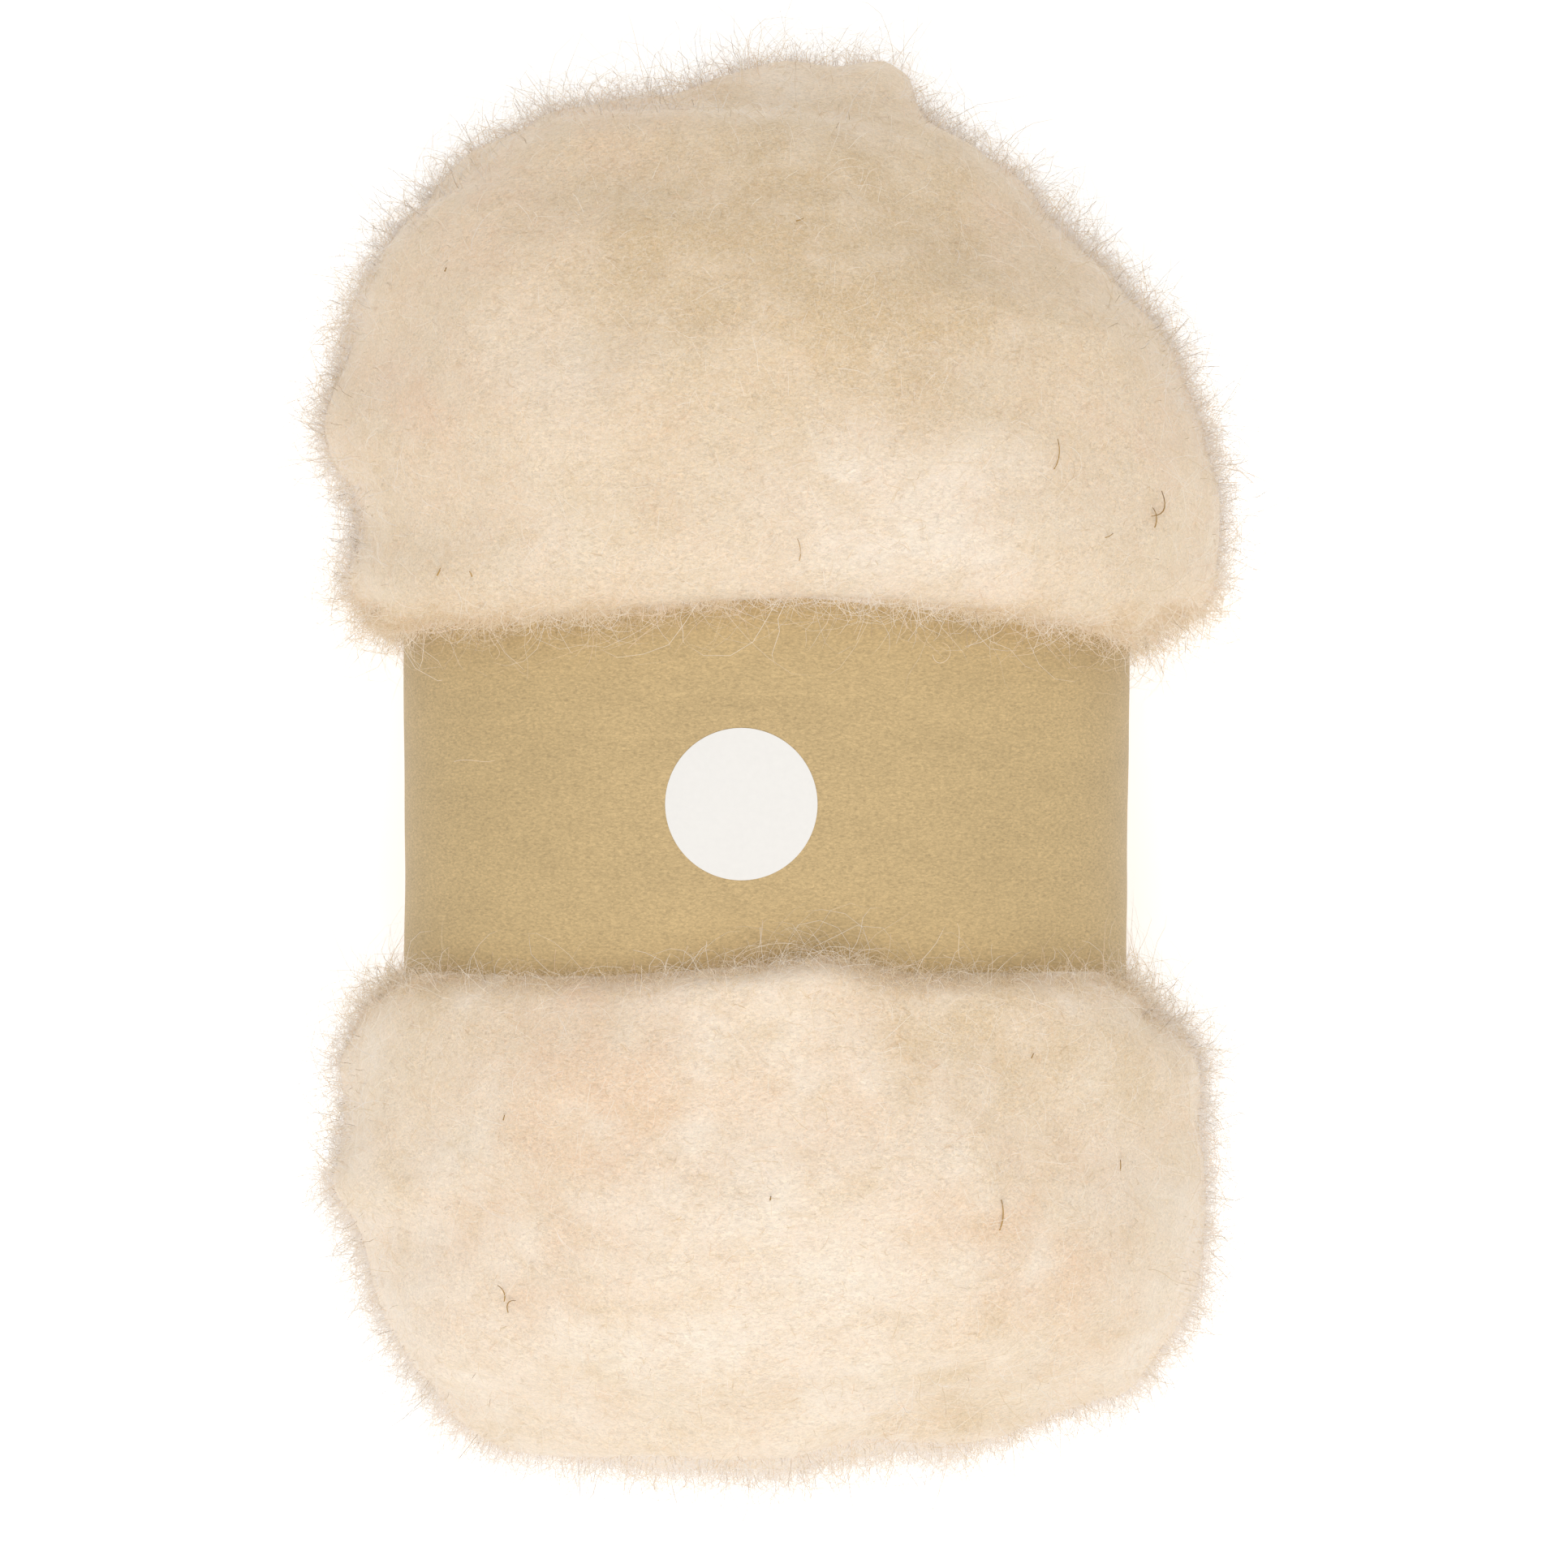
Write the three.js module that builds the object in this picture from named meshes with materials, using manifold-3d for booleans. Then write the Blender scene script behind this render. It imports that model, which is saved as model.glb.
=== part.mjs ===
// A batt of carded wool, rolled up and drawn in at the waist by a band of kraft paper with a round label on its front.
// The roll lies on its back: X runs across it, Y along it and Z up, out of the surface that it rests on. Millimetres.
import * as THREE from 'three';
import { mergeVertices } from 'three/addons/utils/BufferGeometryUtils.js';
import Module from 'manifold-3d';

const wasm = await Module();
wasm.setup();

// Driving sizes
const LABEL_DIAMETER = 25;
const LABEL_THICKNESS = 0.6;
const LABEL_PLACE = { x: -7, y: -3.3 };
const BAND_HEIGHT = 68;
const BAND_THICKNESS = 1;
const BAND_INSIDE = { left: -64.1, right: 58.1, front: 94, back: 14 };
const BAND_TAPER = 0.9;
const BAND_LAP_START = 262;
const BAND_LAP_LENGTH = 17;
const BAND_LAP_RAMP = 12;
const GAP = 0.3;

// The roll's own line, which its sections lie round, and how square a section is
const AXIS_X = -3;
const AXIS_Z = 54;
const SQUARENESS = 2.3;
const AROUND = 64;
const STEPS_PER_SECTION = 2;

// The wool under the band, before the band's seat is cut, reaches the middle of the paper
const WAIST = {
  left: BAND_INSIDE.left - BAND_THICKNESS / 2,
  right: BAND_INSIDE.right + BAND_THICKNESS / 2,
  front: BAND_INSIDE.front + BAND_THICKNESS / 2,
  back: BAND_INSIDE.back - BAND_THICKNESS / 2,
};

// Sections from the lower end of the roll to its upper end. lift is how much further up the roll a section
// runs over the front and the back than at its sides. Where y turns back, a lip of wool overhangs the band.
const SECTIONS = [
  { y: -121.9, left: -15, right: 2, front: 63, back: 45, lift: 0 },
  { y: -120.6, left: -28, right: 10, front: 73, back: 36, lift: 0 },
  { y: -118.4, left: -41, right: 24, front: 81, back: 28, lift: 0 },
  { y: -115.0, left: -50, right: 41, front: 88, back: 20.5, lift: 0 },
  { y: -110.0, left: -59, right: 52.5, front: 95, back: 13, lift: 0 },
  { y: -104.0, left: -65.5, right: 60.5, front: 100, back: 7.5, lift: 0 },
  { y: -95.0, left: -71, right: 70, front: 105, back: 2, lift: 0 },
  { y: -85.0, left: -73.6, right: 74.5, front: 108.5, back: -1.6, lift: 0 },
  { y: -76.0, left: -76.5, right: 75, front: 110, back: -3.4, lift: 0 },
  { y: -69.0, left: -79, right: 75.8, front: 110.5, back: -3.8, lift: 0 },
  { y: -60.0, left: -77.6, right: 75.6, front: 110.2, back: -3.6, lift: 0 },
  { y: -49.0, left: -77.2, right: 75, front: 108.8, back: -2, lift: 0 },
  { y: -41.0, left: -75.5, right: 71, front: 105.8, back: 3, lift: 0 },
  { y: -35.0, left: -73.8, right: 67.5, front: 102.5, back: 7, lift: 0 },
  { y: -32.0, left: -70.5, right: 64, front: 99, back: 10.5, lift: 0 },
  { y: -31.4, ...WAIST, lift: 0 },
  { y: -20.0, ...WAIST, lift: 0 },
  { y: 0.0, ...WAIST, lift: 0 },
  { y: 17.0, ...WAIST, lift: 2 },
  { y: 24.4, ...WAIST, lift: 5 },
  { y: 23.0, left: -67.5, right: 62, front: 97.5, back: 10.5, lift: 5 },
  { y: 22.6, left: -71, right: 66.5, front: 100.5, back: 7.5, lift: 4.8 },
  { y: 24.2, left: -74, right: 70.5, front: 103, back: 5, lift: 4.4 },
  { y: 28.5, left: -76, right: 73.8, front: 105.8, back: 2, lift: 3.6 },
  { y: 34.5, left: -77, right: 75.6, front: 108.4, back: -1, lift: 2.6 },
  { y: 42.0, left: -77.3, right: 77, front: 110.6, back: -2.8, lift: 1.6 },
  { y: 51.0, left: -79.2, right: 77.6, front: 111.8, back: -3.8, lift: 0.6 },
  { y: 61.0, left: -81.6, right: 75.6, front: 112, back: -3.8, lift: 0 },
  { y: 72.0, left: -79.2, right: 72.8, front: 110.8, back: -2.4, lift: 0 },
  { y: 83.0, left: -77, right: 66.2, front: 107.8, back: 1.4, lift: 0 },
  { y: 93.0, left: -72.5, right: 56, front: 103, back: 7, lift: 0 },
  { y: 102.0, left: -65.2, right: 48.5, front: 97.5, back: 13.5, lift: 0 },
  { y: 110.0, left: -55.5, right: 39.5, front: 90.5, back: 20.5, lift: 0 },
  { y: 116.0, left: -46.5, right: 31.5, front: 84, back: 27.5, lift: 0 },
  { y: 120.2, left: -41, right: 27, front: 78, back: 33, lift: 0 },
  { y: 122.3, left: -31, right: 24.5, front: 73.5, back: 37, lift: 0 },
  { y: 124.0, left: -16, right: 22.5, front: 69, back: 41.5, lift: 0 },
  { y: 126.2, left: -9, right: 15.5, front: 62, back: 47.5, lift: 0 },
];

// The wound web shows as a spiral groove on both ends, and along the side as the web's outer edge
const SPIRAL_TURNS = 2.85;
const SPIRAL_CENTRE = { x: 1, z: AXIS_Z };
const SPIRAL_REACH = { x: 76, z: 56 };
const SPIRAL_GROOVE = { width: 5.5, onEnds: 3.2, onSides: 1.6 };
const SPINE_END = 74;
const END_STARTS = 92;
const END_FULL = 112;

// Soft creases of the roll, each from one point of its face to another, with depth below the face
const CREASES = [
  { name: 'lower left lobe', from: [-82, 44], to: [-50, 35], width: 5, depth: 2.6 },
  { name: 'diagonal sweep', from: [-34, 74], to: [30, 92], width: 11, depth: 2 },
  { name: 'second sweep', from: [-8, 60], to: [46, 74], width: 9, depth: 1.5 },
  { name: 'upper shoulder', from: [20, 112], to: [44, 86], width: 8, depth: 1.8 },
  { name: 'lower left step', from: [-84, -79], to: [-54, -72], width: 5, depth: 2.4 },
  { name: 'lower right dip', from: [36, -46], to: [62, -64], width: 10, depth: 1.8 },
  { name: 'lower end dip', from: [14, -122], to: [24, -120], width: 9, depth: 4 },
  { name: 'lower middle dip', from: [-20, -98], to: [36, -104], width: 10, depth: 1.4 },
];

// Soft swellings of its face
const SWELLINGS = [
  { name: 'lower left bulge', at: [-74, -67], width: 9, height: 1.6 },
  { name: 'tuft over the band', at: [9, -34], width: 9, height: 3 },
  { name: 'left shoulder', at: [-48, 104], width: 18, height: 1.6 },
  { name: 'right cheek', at: [56, 48], width: 20, height: 2 },
  { name: 'left cheek', at: [-50, 62], width: 18, height: 1.6 },
  { name: 'lower crown', at: [-8, -70], width: 26, height: 1.8 },
];

// Slow unevenness all over, as waves across three directions
const WAVES = [
  { along: [1, 0.55, 0.2], length: 47, height: 0.7 },
  { along: [-0.5, 1, 0.4], length: 33, height: 0.55 },
  { along: [0.3, -0.6, 1], length: 24, height: 0.4 },
];

// The relief dies away towards the band and towards the middle of each end
const NEAR_BAND = { none: 33, full: 46 };
const TIP = { none: 5, full: 16 };

function smooth(from, to, value) {
  return THREE.MathUtils.smoothstep(value, from, to);
}

// Catmull-Rom between four table values
function between(p0, p1, p2, p3, t) {
  const v0 = (p2 - p0) / 2;
  const v1 = (p3 - p1) / 2;
  return (2 * p1 - 2 * p2 + v0 + v1) * t ** 3 + (-3 * p1 + 3 * p2 - 2 * v0 - v1) * t ** 2 + v0 * t + p1;
}

function sectionAt(place) {
  const last = SECTIONS.length - 1;
  const start = Math.min(Math.floor(place), last - 1);
  const row = (k) => SECTIONS[THREE.MathUtils.clamp(k, 0, last)];
  const four = [row(start - 1), row(start), row(start + 1), row(start + 2)];
  const section = {};
  for (const column of Object.keys(SECTIONS[0])) {
    section[column] = between(...four.map((r) => r[column]), place - start);
  }
  return section;
}

// A point of a rounded, slightly square section, and its outward direction in the section's plane
function onSection({ left, right, front, back }, angle, outward = 0) {
  const cos = Math.cos(angle);
  const sin = Math.sin(angle);
  const across = Math.sign(cos) * Math.abs(cos) ** (2 / SQUARENESS);
  const up = Math.sign(sin) * Math.abs(sin) ** (2 / SQUARENESS);
  const halfWidth = across > 0 ? right - AXIS_X : AXIS_X - left;
  const halfDepth = up > 0 ? front - AXIS_Z : AXIS_Z - back;
  const normal = new THREE.Vector2(
    (Math.sign(across) * Math.abs(across) ** (SQUARENESS - 1)) / halfWidth,
    (Math.sign(up) * Math.abs(up) ** (SQUARENESS - 1)) / halfDepth,
  ).normalize();
  return {
    x: AXIS_X + halfWidth * across + outward * normal.x,
    z: AXIS_Z + halfDepth * up + outward * normal.y,
    up,
  };
}

// A closed solid through rings of points, with a fan over each end
function loft(rings) {
  const count = rings[0].length;
  const middle = (ring) => ring.reduce((sum, p) => sum.add(p), new THREE.Vector3()).divideScalar(count);
  const points = [...rings.flat(), middle(rings[0]), middle(rings.at(-1))];
  const firstMiddle = points.length - 2;
  const lastMiddle = points.length - 1;
  const faces = [];
  for (let k = 0; k < count; k += 1) {
    const next = (k + 1) % count;
    faces.push(firstMiddle, k, next);
    for (let r = 0; r < rings.length - 1; r += 1) {
      const here = r * count;
      const above = here + count;
      faces.push(here + k, above + k, above + next, here + k, above + next, here + next);
    }
    const top = (rings.length - 1) * count;
    faces.push(lastMiddle, top + next, top + k);
  }
  const geometry = new THREE.BufferGeometry().setFromPoints(points);
  geometry.setIndex(faces);
  return geometry;
}

function toSolid(geometry) {
  const bare = geometry.clone();
  bare.deleteAttribute('normal');
  bare.deleteAttribute('uv');
  const merged = mergeVertices(bare, 1e-4);
  const solid = new wasm.Manifold(
    new wasm.Mesh({
      numProp: 3,
      vertProperties: new Float32Array(merged.attributes.position.array),
      triVerts: new Uint32Array(merged.index.array),
    }),
  );
  return solid;
}

function toGeometry(solid) {
  const mesh = solid.getMesh();
  const geometry = new THREE.BufferGeometry();
  geometry.setAttribute('position', new THREE.BufferAttribute(mesh.vertProperties, 3));
  geometry.setIndex(new THREE.BufferAttribute(mesh.triVerts, 1));
  geometry.computeVertexNormals();
  return geometry;
}

function turnAt(k) {
  return (k / AROUND) * 2 * Math.PI;
}

// How far a point lies from the nearest groove of the spiral, across the roll's layers
function fromSpiral(p) {
  const x = (p.x - SPIRAL_CENTRE.x) / SPIRAL_REACH.x;
  const z = (p.z - SPIRAL_CENTRE.z) / SPIRAL_REACH.z;
  const turned = (Math.atan2(z, x) / (2 * Math.PI) + 1) % 1;
  const layers = Math.hypot(x, z) * SPIRAL_TURNS - turned;
  const layerThickness = (SPIRAL_REACH.x + SPIRAL_REACH.z) / 2 / SPIRAL_TURNS;
  return Math.abs(layers - Math.round(layers)) * layerThickness;
}

function soft(distance, width) {
  return Math.exp(-((distance / width) ** 2));
}

function fromCrease(p, crease) {
  const from = new THREE.Vector3(...crease.from, 0);
  const to = new THREE.Vector3(...crease.to, 0);
  const flat = new THREE.Vector3(p.x, p.y, 0);
  return new THREE.Line3(from, to).closestPointToPoint(flat, true, new THREE.Vector3()).distanceTo(flat);
}

// Creases, swellings, waves and the spiral, as a height over the plain section
function relief(p) {
  const onFace = smooth(AXIS_Z - 12, AXIS_Z + 12, p.z);
  const onEnd = smooth(END_STARTS, END_FULL, Math.abs(p.y));
  let height = 0;
  for (const crease of CREASES) {
    height -= onFace * crease.depth * soft(fromCrease(p, crease), crease.width);
  }
  for (const swelling of SWELLINGS) {
    const away = Math.hypot(p.x - swelling.at[0], p.y - swelling.at[1]);
    height += onFace * swelling.height * soft(away, swelling.width);
  }
  for (const wave of WAVES) {
    const along = new THREE.Vector3(...wave.along).normalize().dot(p);
    height += wave.height * Math.sin((along / wave.length) * 2 * Math.PI);
  }
  const groove = THREE.MathUtils.lerp(SPIRAL_GROOVE.onSides, SPIRAL_GROOVE.onEnds, onEnd);
  height -= groove * soft(fromSpiral(p), SPIRAL_GROOVE.width);
  const fromTip = Math.hypot(p.x - SPIRAL_CENTRE.x, p.z - SPIRAL_CENTRE.z);
  return height * smooth(NEAR_BAND.none, NEAR_BAND.full, Math.abs(p.y)) * smooth(TIP.none, TIP.full, fromTip);
}

function battRings() {
  const rings = [];
  const last = (SECTIONS.length - 1) * STEPS_PER_SECTION;
  for (let r = 0; r <= last; r += 1) {
    const section = sectionAt(r / STEPS_PER_SECTION);
    const ring = [];
    for (let k = 0; k < AROUND; k += 1) {
      const { x, z, up } = onSection(section, turnAt(k));
      const p = new THREE.Vector3(x, section.y + section.lift * Math.abs(up) ** 1.5, z);
      const spine = new THREE.Vector3(AXIS_X, THREE.MathUtils.clamp(p.y, -SPINE_END, SPINE_END), AXIS_Z);
      const outward = p.clone().sub(spine).normalize();
      p.addScaledVector(outward, relief(p));
      p.z = Math.max(p.z, 0);
      ring.push(p);
    }
    rings.push(ring);
  }
  return rings;
}

// The thickness added where the strip's outer end is lapped over its start, on the underside
function lapAt(angle) {
  const degrees = THREE.MathUtils.radToDeg(angle);
  const end = BAND_LAP_START + BAND_LAP_LENGTH;
  return degrees > end ? 0 : BAND_THICKNESS * smooth(BAND_LAP_START - BAND_LAP_RAMP, BAND_LAP_START, degrees);
}

// A plug in the band's outline, its face this far outside the paper's inner face
function bandPlug(outward, halfHeight, withLap) {
  const rings = [-1, 1].map((end) => {
    const taper = (end * BAND_TAPER) / 2;
    const outline = { ...BAND_INSIDE, right: BAND_INSIDE.right + taper };
    const ring = [];
    for (let k = 0; k < AROUND; k += 1) {
      const angle = turnAt(k);
      const { x, z } = onSection(outline, angle, outward + (withLap ? lapAt(angle) : 0));
      ring.push(new THREE.Vector3(x, end * halfHeight, z));
    }
    return ring;
  });
  return toSolid(loft(rings));
}

// A ring of paper, grown by a gap where it is used to cut its own seat in the wool
function bandSolid(gap) {
  const halfHeight = BAND_HEIGHT / 2 + gap;
  const outside = bandPlug(BAND_THICKNESS + gap, halfHeight, true);
  const inside = bandPlug(-gap, halfHeight + 1, false);
  return outside.subtract(inside);
}

function battSolid() {
  return toSolid(loft(battRings())).subtract(bandSolid(GAP));
}

// A disc that follows the paper's front
function labelSolid() {
  const radius = LABEL_DIAMETER / 2;
  const ringsOut = 4;
  const aroundLabel = 48;
  const outline = { ...BAND_INSIDE };
  const frontAt = (x, outward) => {
    const reach = x > AXIS_X ? outline.right - AXIS_X : AXIS_X - outline.left;
    const share = Math.abs((x - AXIS_X) / reach) ** SQUARENESS;
    return AXIS_Z + (outline.front - AXIS_Z) * (1 - share) ** (1 / SQUARENESS) + outward;
  };
  const ringAt = (r, outward) => {
    const ring = [];
    for (let k = 0; k < aroundLabel; k += 1) {
      const angle = (k / aroundLabel) * 2 * Math.PI;
      const x = LABEL_PLACE.x + r * Math.cos(angle);
      const y = LABEL_PLACE.y + r * Math.sin(angle);
      ring.push(new THREE.Vector3(x, y, frontAt(x, outward)));
    }
    return ring;
  };
  const under = BAND_THICKNESS + GAP;
  const rings = [];
  for (let r = 1; r <= ringsOut; r += 1) rings.push(ringAt((radius * r) / ringsOut, under + LABEL_THICKNESS));
  for (let r = ringsOut; r >= 1; r -= 1) rings.push(ringAt((radius * r) / ringsOut, under));
  return toSolid(loft(rings));
}

function named(name, solid, color, roughness) {
  const material = new THREE.MeshStandardMaterial({ color, roughness, metalness: 0 });
  const mesh = new THREE.Mesh(toGeometry(solid), material);
  mesh.name = name;
  return mesh;
}

const roll = new THREE.Group();
roll.add(named('wool_batt', battSolid(), 0xeedcc4, 1));
roll.add(named('kraft_band', bandSolid(0), 0xc8ae7f, 0.85));
roll.add(named('round_label', labelSolid(), 0xf5f3ee, 0.6));

// The origin is under the middle of the roll, on the surface that it rests on
const reach = new THREE.Box3().setFromObject(roll);
const centre = reach.getCenter(new THREE.Vector3());
roll.position.set(-centre.x, -centre.y, -reach.min.z);

export default roll;
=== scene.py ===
"""A roll of carded wool batt, drawn in by a kraft paper band with a round label, over its CAD frame.

Distances in the tables are millimetres and become metres in mm(). X runs across the roll, Y along it, Z up.
"""

import math
from collections import namedtuple

import bmesh
import bpy
import numpy as np
from bpy.props import FloatProperty, FloatVectorProperty, IntProperty, PointerProperty
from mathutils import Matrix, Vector, noise
from mathutils.bvhtree import BVHTree


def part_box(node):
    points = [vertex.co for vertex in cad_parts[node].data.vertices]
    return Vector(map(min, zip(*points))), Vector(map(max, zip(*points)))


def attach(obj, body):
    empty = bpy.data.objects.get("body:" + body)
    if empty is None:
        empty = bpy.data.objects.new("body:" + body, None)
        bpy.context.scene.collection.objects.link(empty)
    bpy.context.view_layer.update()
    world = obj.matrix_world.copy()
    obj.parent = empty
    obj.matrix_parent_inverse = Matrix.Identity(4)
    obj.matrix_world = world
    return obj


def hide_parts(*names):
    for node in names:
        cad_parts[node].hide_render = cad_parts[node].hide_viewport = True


bl_info = {
    "name": "Carded Wool Batt",
    "version": (1, 0, 0),
    "blender": (4, 5, 0),
    "location": "View3D > Sidebar > Wool Batt",
    "description": "Dresses a roll of carded wool with its fleece, fibres, paper band, label and studio",
    "category": "Object",
}

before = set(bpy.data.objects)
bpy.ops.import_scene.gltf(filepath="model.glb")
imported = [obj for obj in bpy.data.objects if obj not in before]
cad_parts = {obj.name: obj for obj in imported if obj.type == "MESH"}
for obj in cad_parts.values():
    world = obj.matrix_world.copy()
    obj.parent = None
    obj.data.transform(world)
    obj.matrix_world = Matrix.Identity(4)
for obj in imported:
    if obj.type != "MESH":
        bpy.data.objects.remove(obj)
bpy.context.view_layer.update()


def mm(value):
    """Metres from millimetres, for a number or an array."""
    return value * 0.001


def linear(hex_colour):
    """Linear RGBA from an sRGB hex colour."""
    channels = [int(hex_colour[i : i + 2], 16) / 255 for i in (1, 3, 5)]
    return (*[c / 12.92 if c <= 0.04045 else ((c + 0.055) / 1.055) ** 2.4 for c in channels], 1.0)


# The picture's middle, in the frame's millimetres, and how many of the picture's pixels make a millimetre
# at the label and at the roll's widest outline
PICTURE = {"middle": (2.78, -2.13), "size": 1932, "at_label": 7.52, "at_outline": 7.16}

# The paper's inner face, as the CAD band has it
BAND = {
    "centre": (-0.22, 54.0),
    "half_width": 61.1,
    "half_depth": 40.0,
    "squareness": 2.3,
    "taper": 0.9,
    "low_edge": -36.1,
    "high_edge": 31.9,
    "lap_start": 262.0,
    "lap_length": 17.0,
}

# Where the wool lies over the paper's two edges: their places along the roll
LIPS = {"lower": -33.6, "upper": 22.0}

# Places where a lip rises above the paper or reaches further up the roll: place, width across the roll and
# depth along it, rise and reach (mm)
Tuft = namedtuple("Tuft", "x y width depth rise over")
TUFTS = [
    Tuft(9, -35, 10, 4.5, 4.4, 3.2),
    Tuft(-7, -35.5, 12, 4.5, 2.8, 1.4),
    Tuft(34, -35.5, 16, 4.5, 1.6, 0.4),
    Tuft(8, 22, 28, 12, 0.0, 2.4),
    Tuft(-57, 20, 9, 8, 0.0, 1.8),
]

# Small bulges and hollows of the outline: place on the picture (pixels), width and height (mm)
Bulge = namedtuple("Bulge", "at width height")
OUTLINE = [
    Bulge((425, 350), 10, 2.2),
    Bulge((515, 215), 6, 1.2),
    Bulge((620, 145), 7, -2.0),
    Bulge((815, 85), 8, -3.0),
    Bulge((960, 70), 8, 2.0),
    Bulge((1100, 85), 8, 4.8),
    Bulge((1215, 170), 7, -1.4),
    Bulge((1320, 245), 6, -1.8),
    Bulge((1420, 350), 8, -2.6),
    Bulge((1485, 465), 9, -2.0),
    Bulge((1520, 635), 7, 3.0),
    Bulge((1460, 800), 7, -5.8),
    Bulge((395, 480), 12, 0.8),
    Bulge((408, 640), 6, -1.8),
    Bulge((435, 790), 7, -6.0),
    Bulge((1450, 1200), 8, -7.2),
    Bulge((450, 1195), 7, -4.0),
    Bulge((415, 1260), 5, -1.4),
    Bulge((410, 1300), 5, 1.0),
    Bulge((1500, 1500), 12, 3.4),
    Bulge((405, 1520), 12, 3.2),
    Bulge((1480, 1630), 6, 1.4),
    Bulge((1395, 1730), 8, 3.8),
    Bulge((520, 1740), 11, 4.6),
    Bulge((650, 1815), 7, -1.0),
    Bulge((870, 1830), 9, 1.2),
    Bulge((1010, 1830), 8, -1.4),
    Bulge((1145, 1800), 8, 3.8),
    Bulge((1275, 1780), 6, -1.8),
]

# Broad patches of tone in the wool, partly its own mottle and partly painted light and shade: the pale
# patches at the upper puff's top and bottom and on the lower puff's middle are painted light, and the fawn
# patches across the upper puff's face are painted shade as well as darker wool. Columns: which tone, where
# on the picture (pixels), how wide (mm) and how strong
Patch = namedtuple("Patch", "tone at width strength")
TONE_PATCHES = [
    Patch("fawn", (1000, 290), 22, 0.75),
    Patch("fawn", (820, 330), 16, 0.6),
    Patch("fawn", (1160, 380), 17, 0.7),
    Patch("fawn", (1040, 450), 16, 0.4),
    Patch("fawn", (1390, 430), 10, 0.3),
    Patch("fawn", (560, 1222), 10, 0.5),
    Patch("fawn", (1200, 1235), 18, 0.65),
    Patch("fawn", (1200, 1690), 14, 0.45),
    Patch("fawn", (1400, 1310), 10, 0.4),
    Patch("peach", (610, 300), 12, 0.6),
    Patch("peach", (780, 190), 13, 0.4),
    Patch("peach", (530, 500), 12, 0.5),
    Patch("peach", (1250, 320), 12, 0.4),
    Patch("peach", (1400, 560), 13, 0.5),
    Patch("peach", (750, 1320), 16, 0.8),
    Patch("peach", (660, 1530), 12, 0.5),
    Patch("peach", (1240, 1460), 14, 0.5),
    Patch("peach", (1290, 1590), 11, 0.35),
    Patch("peach", (1000, 1320), 12, 0.35),
    Patch("pale", (980, 110), 14, 0.6),
    Patch("pale", (680, 470), 11, 0.6),
    Patch("pale", (1100, 680), 24, 0.8),
    Patch("pale", (700, 650), 11, 0.4),
    Patch("pale", (930, 1450), 22, 0.9),
    Patch("pale", (1100, 1530), 18, 0.6),
    Patch("pale", (540, 1620), 18, 0.6),
]

# Bits of straw in the wool: place on the picture (pixels), length and width (mm), turn (degrees from
# upright, clockwise), how much the bit bends over its length, and how dark it is from 0 to 1
Bit = namedtuple("Bit", "at length width turn bend dark")
STRAW = [
    Bit((550, 330), 0.7, 0.26, 20, 0.0, 1.0),
    Bit((985, 275), 1.4, 0.22, 60, 0.2, 0.7),
    Bit((1300, 562), 5.2, 0.20, 14, 0.5, 0.35),
    Bit((1432, 622), 4.8, 0.25, 35, 1.6, 0.8),
    Bit((1424, 634), 3.4, 0.22, -15, 0.8, 0.6),
    Bit((1364, 660), 1.8, 0.19, 70, 0.3, 0.5),
    Bit((985, 680), 3.6, 0.14, -5, 0.4, 0.3),
    Bit((543, 704), 1.4, 0.3, 40, 0.2, 0.2),
    Bit((583, 707), 1.0, 0.26, -30, 0.2, 0.2),
    Bit((950, 1470), 0.7, 0.25, 10, 0.0, 0.9),
    Bit((1231, 1494), 5.0, 0.26, 4, 0.4, 0.45),
    Bit((1381, 1442), 1.9, 0.22, 20, 0.2, 0.6),
    Bit((625, 1375), 0.9, 0.22, 20, 0.0, 0.8),
    Bit((1270, 1301), 0.9, 0.22, 30, 0.0, 0.7),
    Bit((622, 1592), 2.9, 0.22, -20, 0.9, 0.55),
    Bit((630, 1606), 2.8, 0.22, 40, -1.2, 0.6),
]

# Single hairs that show by themselves: rise above the surface (mm) and points on the picture (pixels)
Hair = namedtuple("Hair", "rise points")
SINGLE_HAIRS = [
    # Loop by the lower tuft
    Hair(1.6, [(897, 1190), (912, 1177), (935, 1166), (962, 1162), (990, 1166), (1012, 1178)]),
    # Small loop left of the tuft
    Hair(1.2, [(905, 1192), (925, 1176), (945, 1171), (958, 1180), (966, 1192)]),
    # Curl right of the tuft
    Hair(1.2, [(1052, 1180), (1064, 1172), (1080, 1170), (1092, 1180), (1104, 1194)]),
    # Upright hair at the lower edge
    Hair(1.0, [(1186, 1186), (1182, 1170), (1183, 1152), (1180, 1138)]),
    # Hair at the lower right
    Hair(0.8, [(1340, 1206), (1346, 1192), (1350, 1182), (1352, 1172)]),
    # Pale hair on the lower puff
    Hair(0.9, [(985, 1217), (997, 1232), (1002, 1256), (1005, 1282)]),
    # Hair across the paper
    Hair(0.15, [(552, 938), (572, 936), (590, 938), (606, 936)]),
    # Curl on the paper
    Hair(0.4, [(1150, 806), (1158, 816), (1168, 812), (1172, 800), (1160, 790)]),
    # Hair below the upper fringe
    Hair(0.5, [(1226, 746), (1230, 762), (1226, 780), (1232, 794)]),
    # Tuft hair at the upper fringe
    Hair(0.8, [(1112, 738), (1106, 754), (1116, 768), (1108, 784)]),
    # Second tuft hair
    Hair(0.8, [(1118, 738), (1124, 756), (1112, 772)]),
    # Hair at the upper left fringe
    Hair(0.6, [(608, 768), (600, 784), (610, 798), (604, 812)]),
    # Hair at the left of the paper
    Hair(0.4, [(640, 760), (652, 778), (644, 792)]),
    # Hair at the right fringe
    Hair(0.6, [(1376, 780), (1362, 792), (1366, 806)]),
]


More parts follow.
